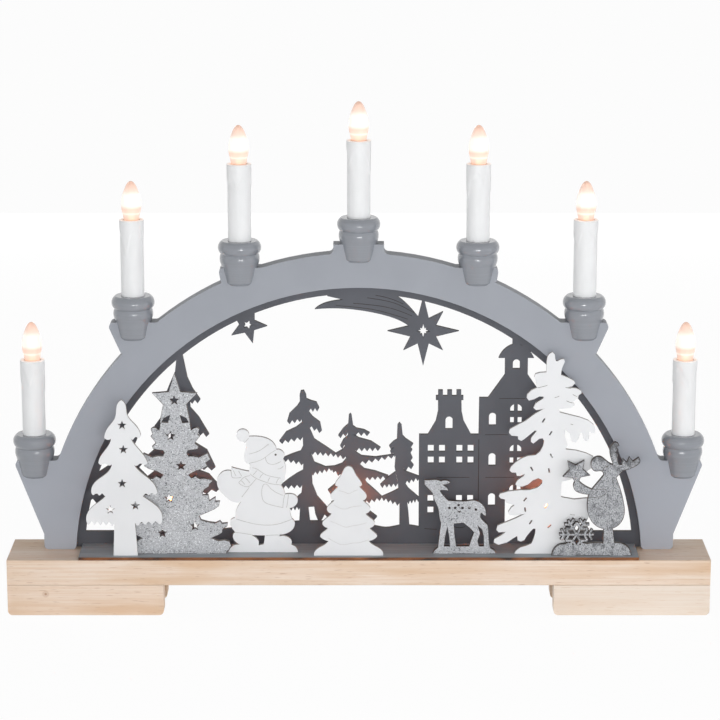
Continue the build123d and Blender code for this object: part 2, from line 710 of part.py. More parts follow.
def tree_half(figure, axis_share, tiers, foot_share):
    """Half of a tiered tree: curved upper edges, wavy hems and the trunk."""
    sides = []
    for upper, hem_end, teeth, drop_share in tiers:
        sides.append((ROUND, upper))
        sides.append((ROUND, hem(upper[-1], hem_end, teeth, drop_share)))
    sides.append((STRAIGHT, [(foot_share, 0), (axis_share, 0), (axis_share, 1)]))
    return outline_face(sides, figure.width, figure.height)


# White tree
white_tree_axis_share = 0.47
white_tree_trunk_right_share = 0.65
white_tree_trunk_left_share = 0.325
white_tree_right_shares = [
    ([(0.515, 0.98), (0.545, 0.905), (0.66, 0.835), (0.72, 0.775)], (0.585, 0.757), 2, 0.012),
    ([(0.70, 0.68), (0.77, 0.635), (0.80, 0.600)], (0.62, 0.590), 2, 0.010),
    ([(0.73, 0.53), (0.88, 0.465), (0.925, 0.41)], (0.70, 0.398), 3, 0.012),
    ([(0.82, 0.355), (0.95, 0.30), (0.985, 0.225)], (0.62, 0.215), 4, 0.018),
]
white_tree_left_shares = [
    ([(0.425, 0.98), (0.385, 0.89), (0.28, 0.82), (0.235, 0.76)], (0.325, 0.755), 1, 0.010),
    ([(0.25, 0.685), (0.18, 0.64), (0.15, 0.600)], (0.33, 0.592), 2, 0.010),
    ([(0.25, 0.53), (0.10, 0.475), (0.045, 0.41)], (0.26, 0.398), 3, 0.014),
    ([(0.12, 0.34), (0.0, 0.285), (-0.03, 0.225)], (0.345, 0.215), 5, 0.020),
]
white_tree_star_shares = ((0.475, 0.84), (0.485, 0.685), (0.46, 0.467), (0.63, 0.323), (0.295, 0.297))


def make_white_tree():
    halves = []
    for tiers, foot_share in (
        (white_tree_right_shares, white_tree_trunk_right_share),
        (white_tree_left_shares, white_tree_trunk_left_share),
    ):
        halves.append(tree_half(white_tree, white_tree_axis_share, tiers, foot_share))
    make_figure(white_tree, halves, star_holes(white_tree, white_tree_star_shares))


# Glitter tree: the right half, from the star down, and its mirror image
glitter_axis_share = 0.43
glitter_half_shares = [
    (0.0, 1.0), (0.061, 0.898), (0.233, 0.89), (0.14, 0.838), (0.122, 0.826), (0.154, 0.747), (0.156, 0.72),
    (0.164, 0.686), (0.195, 0.699), (0.227, 0.703), (0.253, 0.692), (0.235, 0.664), (0.255, 0.652),
    (0.22, 0.63), (0.203, 0.615), (0.242, 0.597), (0.232, 0.583), (0.179, 0.578), (0.13, 0.575),
    (0.117, 0.56), (0.133, 0.543), (0.179, 0.546), (0.24, 0.537), (0.285, 0.549), (0.334, 0.56),
    (0.346, 0.541), (0.363, 0.526), (0.311, 0.507), (0.328, 0.489), (0.282, 0.474), (0.206, 0.461),
    (0.177, 0.453), (0.13, 0.44), (0.159, 0.421), (0.205, 0.433), (0.245, 0.418), (0.291, 0.421),
    (0.372, 0.412), (0.378, 0.403), (0.349, 0.39), (0.343, 0.375), (0.296, 0.36), (0.279, 0.344),
    (0.276, 0.327), (0.334, 0.329), (0.345, 0.295), (0.409, 0.317), (0.409, 0.292), (0.455, 0.293),
    (0.443, 0.267), (0.397, 0.249), (0.31, 0.228), (0.235, 0.212), (0.257, 0.188), (0.332, 0.177),
    (0.407, 0.172), (0.453, 0.184), (0.476, 0.169), (0.534, 0.172), (0.528, 0.154), (0.481, 0.138),
    (0.475, 0.117), (0.44, 0.106), (0.358, 0.087), (0.434, 0.071), (0.498, 0.077), (0.55, 0.068),
    (0.568, 0.046), (0.544, 0.021), (0.515, 0.009), (0.52, 0.0), (0.0, 0.0),
]
glitter_notch_shares = [(0.05, 0.77), (0.075, 0.728), (0.14, 0.73), (0.115, 0.752)]
glitter_star_shares = (
    (0.425, 0.85), (0.38, 0.655), (0.485, 0.49), (0.355, 0.31), (0.62, 0.155), (0.28, 0.115),
)


def make_glitter_tree():
    width, height = glitter_tree.width, glitter_tree.height
    with BuildSketch() as body:
        with Locations((glitter_axis_share * width, 0)):
            Polygon(*scaled(glitter_half_shares, width, height), align=None)
            left_half = [(-u, v) for u, v in glitter_half_shares]
            Polygon(*scaled(left_half, width, height), align=None)
            for side in (-1, 1):
                notch = [(side * u, v) for u, v in glitter_notch_shares]
                Polygon(*scaled(notch, width, height), align=None, mode=Mode.SUBTRACT)
    make_figure(glitter_tree, [body.sketch], star_holes(glitter_tree, glitter_star_shares))


# Gift bringer, in a bobble hat, with a sack on the shoulder
bobble_share = (0.325, 0.952)
bobble_radius_share = 0.079
gift_bringer_shares = [
    (STRAIGHT, [(0.40, 0.943)]),
    (ROUND, [(0.55, 0.94), (0.66, 0.915), (0.74, 0.838)]),
    (ROUND, [(0.80, 0.83), (0.835, 0.80), (0.82, 0.765)]),
    (ROUND, [(0.85, 0.70), (0.85, 0.63), (0.79, 0.55)]),
    (ROUND, [(0.82, 0.52), (0.84, 0.472)]),
    (ROUND, [(0.92, 0.476), (0.985, 0.455), (0.998, 0.42), (0.96, 0.378), (0.90, 0.363)]),
    (ROUND, [(0.907, 0.31), (0.925, 0.272)]),
    (ROUND, [(0.957, 0.25), (0.95, 0.205), (0.89, 0.165), (0.77, 0.145)]),
    (STRAIGHT, [(0.77, 0.13)]),
    (ROUND, [(0.86, 0.128), (0.905, 0.108), (0.915, 0.06)]),
    (ROUND, [(0.965, 0.045), (0.998, 0.0)]),
    (STRAIGHT, [(0.13, 0.0)]),
    (ROUND, [(0.175, 0.045), (0.29, 0.062)]),
    (ROUND, [(0.21, 0.095), (0.19, 0.13), (0.22, 0.165)]),
    (ROUND, [(0.175, 0.205), (0.162, 0.255), (0.215, 0.28)]),
    (ROUND, [(0.24, 0.35), (0.30, 0.415)]),
    (ROUND, [(0.22, 0.408), (0.12, 0.445), (0.03, 0.51), (0.0, 0.57), (0.035, 0.635), (0.18, 0.664)]),
    (STRAIGHT, [(0.18, 0.695)]),
    (ROUND, [(0.29, 0.675), (0.40, 0.66)]),
    (STRAIGHT, [(0.415, 0.705), (0.40, 0.72)]),
    (ROUND, [(0.36, 0.735), (0.345, 0.80), (0.325, 0.93)]),
]
boot_gap_shares = [(0.42, 0.14), (0.59, 0.137), (0.572, 0.065), (0.51, 0.055), (0.512, 0.09), (0.48, 0.118)]


def make_gift_bringer():
    width, height = gift_bringer.width, gift_bringer.height
    with BuildSketch() as body:
        add(outline_face(gift_bringer_shares, width, height))
        with Locations((bobble_share[0] * width, bobble_share[1] * height)):
            Circle(bobble_radius_share * width)
        add(polygon_face(boot_gap_shares, width, height), mode=Mode.SUBTRACT)
    make_figure(gift_bringer, [body.sketch], [])


# Small tree: the right half, with rounded tips, and its mirror image
small_tree_axis_share = 0.495
small_tree_sides_shares = [
    (ROUND, [(0.025, 0.997), (0.10, 0.915), (0.185, 0.82), (0.195, 0.80), (0.155, 0.775)]),
    (ROUND, [(0.235, 0.71), (0.262, 0.665), (0.25, 0.64), (0.205, 0.62)]),
    (ROUND, [(0.28, 0.57), (0.315, 0.525), (0.305, 0.50), (0.25, 0.474)]),
    (ROUND, [(0.345, 0.405), (0.382, 0.36), (0.365, 0.335), (0.31, 0.313)]),
    (ROUND, [(0.39, 0.25), (0.415, 0.22), (0.39, 0.195), (0.295, 0.165)]),
    (ROUND, [(0.42, 0.093), (0.49, 0.05), (0.505, 0.0)]),
    (STRAIGHT, [(0.0, 0.0), (0.0, 1.0)]),
]


def make_small_tree():
    width, height = small_tree.width, small_tree.height
    half = outline_face(small_tree_sides_shares, width, height)
    with BuildSketch() as whole:
        add(half)
        mirror(about=Plane.YZ)
    with BuildSketch() as body:
        with Locations((small_tree_axis_share * width, 0)):
            add(whole.sketch)
    make_figure(small_tree, [body.sketch], [])


# Fawn
fawn_shares = [
    (STRAIGHT, [(0.0, 0.985)]),
    (ROUND, [(0.10, 0.986), (0.165, 0.988), (0.225, 0.965)]),
    (ROUND, [(0.295, 0.98), (0.36, 0.95)]),
    (ROUND, [(0.31, 0.925), (0.25, 0.918)]),
    (ROUND, [(0.305, 0.885), (0.335, 0.835)]),
    (ROUND, [(0.27, 0.845), (0.215, 0.84)]),
    (ROUND, [(0.27, 0.77), (0.33, 0.71)]),
    (ROUND, [(0.45, 0.703), (0.58, 0.703), (0.69, 0.712), (0.80, 0.66), (0.85, 0.57), (0.845, 0.50)]),
    (ROUND, [(0.82, 0.515), (0.785, 0.545)]),
    (ROUND, [(0.785, 0.475), (0.83, 0.425), (0.875, 0.385)]),
    (ROUND, [(0.89, 0.28), (0.905, 0.12), (0.92, 0.07)]),
    (ROUND, [(0.965, 0.05), (0.995, 0.0)]),
    (STRAIGHT, [(0.12, 0.0)]),
    (ROUND, [(0.145, 0.045), (0.19, 0.08)]),
    (ROUND, [(0.205, 0.22), (0.23, 0.41)]),
    (ROUND, [(0.205, 0.50), (0.19, 0.60), (0.145, 0.70), (0.11, 0.81)]),
    (ROUND, [(0.055, 0.865), (0.0, 0.92)]),
]
fawn_gap_shares = (
    [(0.32, 0.365), (0.345, 0.22), (0.355, 0.10), (0.275, 0.10), (0.295, 0.24)],
    [
        (0.41, 0.40), (0.54, 0.41), (0.62, 0.35), (0.685, 0.285), (0.65, 0.19), (0.62, 0.10), (0.445, 0.10),
        (0.42, 0.28),
    ],
    [(0.735, 0.38), (0.795, 0.32), (0.82, 0.23), (0.825, 0.10), (0.76, 0.10), (0.74, 0.17), (0.775, 0.27)],
)
fawn_spot_shares = (
    (0.345, 0.612), (0.425, 0.612), (0.472, 0.65), (0.527, 0.612), (0.485, 0.565), (0.62, 0.613),
    (0.71, 0.59),
)
fawn_spot_radius_share = 0.013


def make_fawn():
    width, height = fawn.width, fawn.height
    gaps = [polygon_face(shares, width, height) for shares in fawn_gap_shares]
    with BuildSketch() as spots:
        for u, v in fawn_spot_shares:
            with Locations((u * width, v * height)):
                Circle(fawn_spot_radius_share * width)
    make_figure(fawn, [outline_face(fawn_shares, width, height)], [*gaps, spots.sketch])


# Tall tree, clockwise from its tip: boughs with rounded fingers that hang from them
tall_tree_right_shares = [
    (0.525, 0.986), (0.558, 0.997), (0.582, 0.986), (0.592, 0.955), (0.608, 0.952), (0.641, 0.962),
    (0.674, 0.963), (0.682, 0.95), (0.653, 0.917), (0.646, 0.886), (0.714, 0.873), (0.774, 0.858),
    (0.786, 0.845), (0.758, 0.83), (0.704, 0.826), (0.797, 0.821), (0.846, 0.809), (0.852, 0.797),
    (0.825, 0.787), (0.817, 0.773), (0.766, 0.753), (0.788, 0.737), (0.75, 0.725), (0.63, 0.719),
    (0.641, 0.703), (0.74, 0.69), (0.838, 0.678), (0.92, 0.663), (0.976, 0.641), (0.995, 0.618),
    (0.985, 0.6), (0.954, 0.602), (0.936, 0.61), (0.935, 0.575), (0.912, 0.559), (0.884, 0.566),
    (0.867, 0.602), (0.845, 0.602), (0.833, 0.577), (0.802, 0.553), (0.764, 0.561), (0.741, 0.599),
    (0.7, 0.616), (0.694, 0.588), (0.711, 0.561), (0.724, 0.541), (0.704, 0.521), (0.814, 0.514),
    (0.907, 0.501), (0.979, 0.484), (0.996, 0.458), (0.964, 0.428), (0.872, 0.395), (0.75, 0.37),
    (0.672, 0.359), (0.667, 0.285), (0.702, 0.28), (0.801, 0.272), (0.94, 0.279), (0.985, 0.25),
    (0.935, 0.169), (0.79, 0.14), (0.73, 0.114), (0.72, 0.0),
]
tall_tree_left_shares = [
    (0.215, 0.0), (0.229, 0.014), (0.273, 0.031), (0.334, 0.04), (0.383, 0.051), (0.401, 0.072),
    (0.419, 0.102), (0.42, 0.125), (0.4, 0.126), (0.37, 0.111), (0.332, 0.087), (0.312, 0.068),
    (0.276, 0.061), (0.245, 0.067), (0.24, 0.089), (0.204, 0.078), (0.138, 0.056), (0.055, 0.045),
    (0.009, 0.056), (0.013, 0.073), (0.088, 0.094), (0.127, 0.109), (0.055, 0.107), (0.033, 0.119),
    (0.044, 0.141), (0.115, 0.155), (0.209, 0.174), (0.314, 0.2), (0.22, 0.191), (0.159, 0.194),
    (0.148, 0.208), (0.175, 0.23), (0.208, 0.243), (0.124, 0.257), (0.112, 0.272), (0.073, 0.276),
    (0.053, 0.287), (0.064, 0.3), (0.15, 0.312), (0.26, 0.318), (0.359, 0.319), (0.436, 0.331),
    (0.48, 0.351), (0.48, 0.368), (0.441, 0.378), (0.386, 0.367), (0.339, 0.346), (0.287, 0.336),
    (0.235, 0.336), (0.216, 0.348), (0.237, 0.367), (0.294, 0.387), (0.307, 0.399), (0.264, 0.389),
    (0.228, 0.389), (0.22, 0.405), (0.176, 0.406), (0.156, 0.416), (0.17, 0.434), (0.214, 0.456),
    (0.269, 0.475), (0.335, 0.488), (0.412, 0.492), (0.456, 0.511), (0.483, 0.538), (0.492, 0.563),
    (0.477, 0.575), (0.444, 0.573), (0.409, 0.558), (0.384, 0.549), (0.362, 0.558), (0.364, 0.577),
    (0.416, 0.611), (0.4, 0.614), (0.339, 0.589), (0.301, 0.573), (0.268, 0.562), (0.237, 0.57),
    (0.233, 0.585), (0.171, 0.588), (0.145, 0.602), (0.153, 0.62), (0.212, 0.637), (0.3, 0.659),
    (0.398, 0.696), (0.491, 0.722), (0.463, 0.717), (0.408, 0.714), (0.382, 0.725), (0.405, 0.748),
    (0.478, 0.771), (0.482, 0.78), (0.44, 0.781), (0.385, 0.767), (0.335, 0.761), (0.314, 0.775),
    (0.32, 0.791), (0.361, 0.812), (0.416, 0.824), (0.41, 0.836), (0.402, 0.858), (0.388, 0.876),
    (0.398, 0.891), (0.442, 0.897), (0.505, 0.899), (0.504, 0.952), (0.511, 0.972),
]
tall_tree_slit_shares = (
    (0.483, 0.663, 60), (0.555, 0.6, 60), (0.566, 0.489, 120), (0.374, 0.424, 120), (0.545, 0.416, 100),
    (0.313, 0.272, 50), (0.315, 0.221, 100), (0.372, 0.158, 60), (0.557, 0.138, 40), (0.522, 0.238, 60),
)
tall_tree_slit_length_share = 0.045
tall_tree_slit_width_share = 0.015


def make_tall_tree():
    width, height = tall_tree.width, tall_tree.height
    with BuildSketch() as slits:
        for u, v, lean in tall_tree_slit_shares:
            with Locations((u * width, v * height)):
                slit = (tall_tree_slit_length_share * width, tall_tree_slit_width_share * width)
                Rectangle(*slit, rotation=lean)
    body = polygon_face([*tall_tree_right_shares, *tall_tree_left_shares], width, height)
    make_figure(tall_tree, [body], [slits.sketch])


# Moose, upright on a snow bank, with a star in its hands and a snowflake beside it
moose_shares = [
    (ROUND, [(0.025, 0.055), (0.09, 0.098), (0.15, 0.10)]),
    (ROUND, [(0.22, 0.128), (0.30, 0.13), (0.40, 0.105)]),
    (ROUND, [(0.50, 0.115), (0.59, 0.112)]),
    (STRAIGHT, [(0.592, 0.235)]),
    (ROUND, [(0.50, 0.265), (0.43, 0.33), (0.398, 0.43), (0.412, 0.535)]),
    (ROUND, [(0.32, 0.548), (0.255, 0.575), (0.235, 0.615), (0.29, 0.665)]),
    (ROUND, [(0.375, 0.612), (0.45, 0.585)]),
    (STRAIGHT, [(0.575, 0.702)]),
    (ROUND, [(0.565, 0.735), (0.52, 0.742)]),
    (ROUND, [(0.455, 0.752), (0.432, 0.80), (0.46, 0.853), (0.53, 0.87), (0.60, 0.838), (0.685, 0.80)]),
    (ROUND, [(0.648, 0.88), (0.652, 0.955), (0.70, 0.995)]),
    (ROUND, [(0.735, 0.985), (0.752, 0.962)]),
    (STRAIGHT, [(0.715, 0.955), (0.742, 0.925), (0.712, 0.905), (0.745, 0.885)]),
    (ROUND, [(0.74, 0.84), (0.757, 0.80)]),
    (STRAIGHT, [(0.785, 0.80)]),
    (STRAIGHT, [(0.795, 0.85), (0.842, 0.82), (0.87, 0.866), (0.91, 0.828), (0.975, 0.862)]),
    (ROUND, [(0.992, 0.82), (0.955, 0.79), (0.86, 0.755)]),
    (STRAIGHT, [(0.80, 0.742)]),
    (ROUND, [(0.765, 0.715), (0.725, 0.685)]),
    (ROUND, [(0.77, 0.60), (0.82, 0.46), (0.825, 0.35), (0.78, 0.28), (0.70, 0.24)]),
    (STRAIGHT, [(0.722, 0.112)]),
    (ROUND, [(0.81, 0.108), (0.88, 0.075), (0.92, 0.0)]),
    (STRAIGHT, [(0.0, 0.0)]),
]
held_star_share = (0.268, 0.735)
held_star_radius_share = 0.165
held_star_turn = 57
snowflake_share = (0.285, 0.185)
snowflake_arm_share = 0.185
snowflake_bar_share = 0.03
snowflake_branch_shares = ((0.46, 0.38), (0.76, 0.32))
snowflake_clearing_share = 0.125


def snowflake_face(x, z, width):
    """Six arms, each with two pairs of branches."""
    arm = snowflake_arm_share * width
    bar = snowflake_bar_share * width
    with BuildSketch() as flake:
        with Locations((x, z)):
            with PolarLocations(0, 6):
                with Locations((arm / 2, 0)):
                    Rectangle(arm + bar, bar)
                for along, length in snowflake_branch_shares:
                    for side in (-1, 1):
                        reach = length * arm
                        with Locations((along * arm + reach / 4, side * reach * sqrt(3) / 4)):
                            Rectangle(reach + bar, bar, rotation=side * 60)
    return flake.sketch


def make_moose():
    width, height = moose.width, moose.height
    star_x, star_z = held_star_share[0] * width, held_star_share[1] * height
    star_radius = held_star_radius_share * width
    flake_x, flake_z = snowflake_share[0] * width, snowflake_share[1] * height
    flake = snowflake_face(flake_x, flake_z, width)
    with BuildSketch() as body:
        add(outline_face(moose_shares, width, height))
        add(star_face(star_x, star_z, 5, star_radius, star_radius / 2, held_star_turn))
        with Locations((flake_x, flake_z)):
            Circle(snowflake_clearing_share * width, mode=Mode.SUBTRACT)
        add(flake)
    make_figure(moose, [body.sketch], [])


# Platform, with a slot for each tab and a hole for each scene lamp
def make_platform():
    with BuildPart() as platform:
        with BuildSketch(Plane.XY.offset(plank_top)):
            with Locations((0, plank_front)):
                plate = (2 * platform_half_length, panel_front - plank_front)
                Rectangle(*plate, align=(Align.CENTER, Align.MIN))
            for figure in figures:
                for tab in figure.tabs:
                    with Locations((tab, figure.front + figure_thickness / 2)):
                        slot = (tab_width + 2 * tab_clearance, figure_thickness + 2 * tab_clearance)
                        Rectangle(*slot, mode=Mode.SUBTRACT)
            for number in range(len(scene_lamp_x_shares)):
                with Locations((scene_lamp_place(number), scene_lamp_y)):
                    Circle(holder_radius + holder_clearance, mode=Mode.SUBTRACT)
        extrude(amount=platform_thickness)
    keep(platform, "platform")


# Candle cup, turned, with a slot that sits astride the bracket
def make_cup(number):
    x, top = candle_place(number)
    plane = upright(x, arch_middle, top)
    bead_middle = cup_rise - cup_skirt
    groove_level = cup_rise / 2
    rim_middle = (groove_level + cup_rise) / 2
    bead_foot = bead_middle / 3
    with BuildPart() as cup:
        with BuildSketch(plane):
            with BuildLine():
                Polyline(
                    (0, cup_rise),
                    (0, -cup_skirt),
                    (cup_bottom_radius - cup_edge_bevel, -cup_skirt),
                    (cup_bottom_radius, cup_edge_bevel - cup_skirt),
                    (cup_waist_radius, bead_foot),
                )
                ThreePointArc(
                    (cup_waist_radius, bead_foot),
                    (cup_bead_radius, bead_middle),
                    (cup_waist_radius, groove_level),
                )
                ThreePointArc(
                    (cup_waist_radius, groove_level), (cup_rim_radius, rim_middle), (cup_top_radius, cup_rise)
                )
                Line((cup_top_radius, cup_rise), (0, cup_rise))
            make_face()
        revolve(axis=Axis(plane.origin, plane.y_dir))
        with BuildSketch(Plane.XY.offset(top)):
            with Locations((x, arch_middle)):
                Rectangle(3 * cup_rim_radius, arch_thickness + 2 * cup_slot_clearance)
        extrude(amount=-cup_skirt - overrun, mode=Mode.SUBTRACT)
        with BuildSketch(Plane.XY.offset(top)):
            with Locations((x, arch_middle)):
                Circle(wire_hole_radius)
        extrude(amount=cup_rise, mode=Mode.SUBTRACT)
        with BuildSketch(Plane.XY.offset(top + cup_rise - cup_bore_depth)):
            with Locations((x, arch_middle)):
                Circle(sleeve_radius + sleeve_clearance)
        extrude(amount=cup_bore_depth + overrun, mode=Mode.SUBTRACT)
    keep(cup, f"candle_cup_{number + 1}")


# Candle sleeve, with a collar of moulded wax and drips that run down from it
drip_angle_shares = (0.05, 0.33, 0.72)
drip_length_shares = (0.55, 1.0, 0.75)


def sleeve_foot(number):
    return candle_place(number)[1] + cup_rise - cup_bore_depth


def make_sleeve(number):
    x, _ = candle_place(number)
    foot = sleeve_foot(number)
    plane = upright(x, arch_middle, foot)
    rim = sleeve_length
    collar_foot = rim - collar_length
    ledge = rim - holder_drop - holder_height
    bore = holder_radius + holder_clearance
    with BuildPart() as sleeve:
        with BuildSketch(plane):
            with BuildLine():
                Polyline(
                    (ledge_radius, 0),
                    (sleeve_radius, 0),
                    (sleeve_radius, collar_foot),
                    (collar_radius, collar_foot + collar_radius - sleeve_radius),
                    (collar_radius, rim),
                    (mouth_radius, rim),
                    (mouth_radius, rim - mouth_depth),
                    (bore, rim - mouth_depth),
                    (bore, ledge),
                    (ledge_radius, ledge),
                    close=True,
                )
            make_face()
        revolve(axis=Axis(plane.origin, plane.y_dir))
        for step, angle_share in enumerate(drip_angle_shares):
            angle = 2 * pi * (angle_share + number * drip_angle_shares[1])
            reach = collar_length * drip_length_shares[(step + number) % len(drip_length_shares)]
            middle = collar_radius + drip_stand - drip_radius
            with BuildSketch(Plane.XY.offset(foot + collar_foot - reach / 2)):
                with Locations((x + middle * cos(angle), arch_middle + middle * sin(angle))):
                    Circle(drip_radius)
                with Locations((x, arch_middle)):
                    Circle((sleeve_radius + bore) / 2, mode=Mode.SUBTRACT)
            extrude(amount=reach)
    keep(sleeve, f"candle_sleeve_{number + 1}")


# Screw lampholder: a plain one inside each sleeve, one with a flange for each scene lamp
def make_holder(name, x, y, top, flange_drop):
    plane = upright(x, y, top)
    floor = -holder_bore_depth
    with BuildPart() as holder:
        with BuildSketch(plane):
            with BuildLine():
                Polyline(
                    (0, -holder_height),
                    (holder_radius, -holder_height),
                    (holder_radius, 0),
                    (thread_bore_radius, 0),
                    (thread_bore_radius, floor),
                    (contact_radius, floor),
                    (contact_radius, floor + contact_height),
                    (0, floor + contact_height),
                    close=True,
                )
            make_face()
            if flange_drop:
                with Locations((thread_bore_radius, -flange_drop)):
                    flange = (flange_radius - thread_bore_radius, flange_thickness)
                    Rectangle(*flange, align=(Align.MIN, Align.MIN))
        revolve(axis=Axis(plane.origin, plane.y_dir))
    keep(holder, name)


# Bulb glass: a thin pointed shell, open at its neck, in shares of its radius and length
glass_arc_shares = (
    ((0.717, 0.0), (0.87, 0.055), (0.95, 0.15)),
    ((0.95, 0.15), (1.0, 0.36), (0.93, 0.58)),
    ((0.93, 0.58), (0.72, 0.765), (0.15, 0.975)),
)


def make_glass(name, x, y, neck):
    plane = upright(x, y, neck)
    arcs = [scaled(shares, glass_radius, glass_length) for shares in glass_arc_shares]
    neck_radius = arcs[0][0][0]
    tip_radius, tip_level = arcs[-1][-1]
    with BuildPart() as glass:
        with BuildSketch(plane):
            with BuildLine():
                for start, middle, end in arcs:
                    ThreePointArc(start, middle, end)
                Polyline((tip_radius, tip_level), (0, glass_length), (0, 0), (neck_radius, 0))
            make_face()
        revolve(axis=Axis(plane.origin, plane.y_dir))
        with BuildSketch(plane):
            with BuildLine():
                Polyline(
                    (0, tip_level - glass_wall),
                    (0, 0),
                    *[(arc[0][0] - glass_wall, arc[0][1]) for arc in arcs],
                    (tip_radius - glass_wall, tip_level - glass_wall),
                    close=True,
                )
            make_face()
        revolve(axis=Axis(plane.origin, plane.y_dir), mode=Mode.SUBTRACT)
    keep(glass, name)


# Bulb cap with its contact tip, glass stem, leads and filament
def make_cap(name, x, y, neck):
    plane = upright(x, y, neck)
    taper_foot = -(cap_skirt + cap_length) / 2
    with BuildPart() as cap:
        with BuildSketch(plane):
            with BuildLine():
                Polyline(
                    (0, -cap_length),
                    (cap_tip_radius, -cap_length),
                    (cap_tip_radius, taper_foot),
                    (cap_radius, -cap_skirt),
                    (cap_radius, -cap_gap),
                    (stem_radius, -cap_gap),
                    (stem_radius, stem_height),
                    (0, stem_height),
                    close=True,
                )
            make_face()
        revolve(axis=Axis(plane.origin, plane.y_dir))
        with BuildLine(plane) as leads:
            Polyline(
                (-stem_radius / 2, stem_height - filament_width),
                (-filament_half_span, filament_height - filament_half_span),
                (0, filament_height),
                (filament_half_span, filament_height - filament_half_span),
                (stem_radius / 2, stem_height - filament_width),
            )
        with BuildSketch(Plane(origin=leads.line @ 0, z_dir=leads.line % 0)):
            Rectangle(filament_width, filament_width)
        sweep(path=leads.line, transition=Transition.RIGHT)
    keep(cap, name)


# Wiring: one wire from lamp to lamp, in the groove, through the plank and along the channel
bend_reach_share = 0.45
sharp_turn = pi / 10


def bend_radii(points):
    """The largest fair radius at each corner, held to the groove's own at the sharp ones."""
    radii = []
    for before, here, after in zip(points, points[1:], points[2:]):
        first, second = Vector(*here) - Vector(*before), Vector(*after) - Vector(*here)
        turn = radians(first.get_angle(second))
        radius = bend_reach_share * min(first.length, second.length) / tan(turn / 2)
        radii.append(min(radius, wire_bend_radius) if turn > sharp_turn else radius)
    return radii


def groove_place(angle):
    return (groove_radius * cos(angle), arch_middle, arch_centre + groove_radius * sin(angle))


def groove_points(start, end):
    """Points on the wire groove's middle from one angle to another, without the two ends."""
    count = max(1, ceil(abs(end - start) * groove_radius / wire_step))
    angles = [start + (end - start) * step / count for step in range(1, count)]
    return [groove_place(angle) for angle in angles]


def branch_points(number, side):
    """From a candle's lampholder down to the groove, on the branch's left or right."""
    x, top = candle_place(number)
    angle = wire_entry_angle(number)
    shift = side * wire_offset
    foot_angle = angle - shift / groove_radius
    holder_foot = sleeve_foot(number) + sleeve_length - holder_drop - holder_height
    points = [(x + shift, arch_middle, holder_foot)]
    knee_x, knee_z = wire_knee(number)
    if abs(x) > wire_offset:
        mitre = shift * tan((pi / 2 - angle) / 2)
        points.append((knee_x + shift, arch_middle, arch_centre + knee_z - mitre))
    points.append(groove_place(foot_angle))
    return points, foot_angle


def leg_points(side, target_x):
    """From the groove's foot through the plank and along the channel to a place in it."""
    leg_x = side * sqrt(groove_radius**2 - arch_centre_drop**2)
    level = foot_height + channel_depth / 2
    return [
        (leg_x, arch_middle, plank_top - plank_thickness / 4),
        (leg_x, arch_middle, level),
        (leg_x, scene_lamp_y, level),
        (target_x, scene_lamp_y, level),
    ]


def lamp_foot(number, side):
    """The underside of a scene lamp's holder, left or right of its middle."""
    foot = platform_top + scene_holder_rise - holder_height
    return (scene_lamp_place(number) + side * 2 * wire_offset, scene_lamp_y, foot)


def channel_point(number, side):
    x, y, _ = lamp_foot(number, side)
    return (x, y, foot_height + channel_depth / 2)


def splice_place(side):
    """The middle of the left or right crimped splice, where the mains cord would join."""
    return scene_lamp_place(0) - splice_inset + side * (splice_gap + splice_length) / 2


def wire_routes():
    last = len(candle_x_shares) - 1
    last_lamp = len(scene_lamp_x_shares) - 1
    leg_angle = asin(arch_centre_drop / groove_radius)
    routes = []
    for number in range(last):
        start, start_angle = branch_points(number, 1)
        end, end_angle = branch_points(number + 1, -1)
        routes.append([*start, *groove_points(start_angle, end_angle), *reversed(end)])
    first, first_angle = branch_points(0, -1)
    up_left = groove_points(pi - leg_angle, first_angle)
    down = leg_points(-1, splice_place(-1))
    routes.append([*reversed(down), *up_left, *reversed(first)])
    final, final_angle = branch_points(last, 1)
    down_right = groove_points(final_angle, leg_angle)
    last_socket = channel_point(last_lamp, 1)
    routes.append([*final, *down_right, *leg_points(1, last_socket[0]), lamp_foot(last_lamp, 1)])
    for number in range(last_lamp):
        here = [lamp_foot(number, 1), channel_point(number, 1)]
        there = [channel_point(number + 1, -1), lamp_foot(number + 1, -1)]
        routes.append([*here, *there])
    x, y, level = channel_point(0, -1)
    routes.append([lamp_foot(0, -1), (x, y, level), (splice_place(1), y, level)])
    return routes


def make_wiring():
    length = 0
    smallest = wire_bend_radius
    with BuildPart() as wiring:
        for points in wire_routes():
            radii = bend_radii(points)
            smallest = min(smallest, *radii)
            with BuildLine() as path:
                FilletPolyline(*points, radius=radii)
            length += sum(edge.length for edge in path.edges())
            with BuildSketch(Plane(origin=path.line @ 0, z_dir=path.line % 0)):
                Circle(wire_radius)
            sweep(path=path.line)
        for side in (-1, 1):
            with BuildSketch(Plane.YZ.offset(splice_place(side) - splice_length / 2)):
                with Locations((scene_lamp_y, foot_height + channel_depth / 2)):
                    Circle(splice_radius)
            extrude(amount=splice_length)
    section = pi * wire_radius**2
    sleeves = 2 * splice_length * (pi * splice_radius**2 - section / 2)
    print("wires:", len(wiring.part.solids()), "smallest bend:", round(smallest, 2))
    print("volume over section and length:", round((wiring.part.volume - sleeves) / (section * length), 3))
    keep(wiring, "wiring")


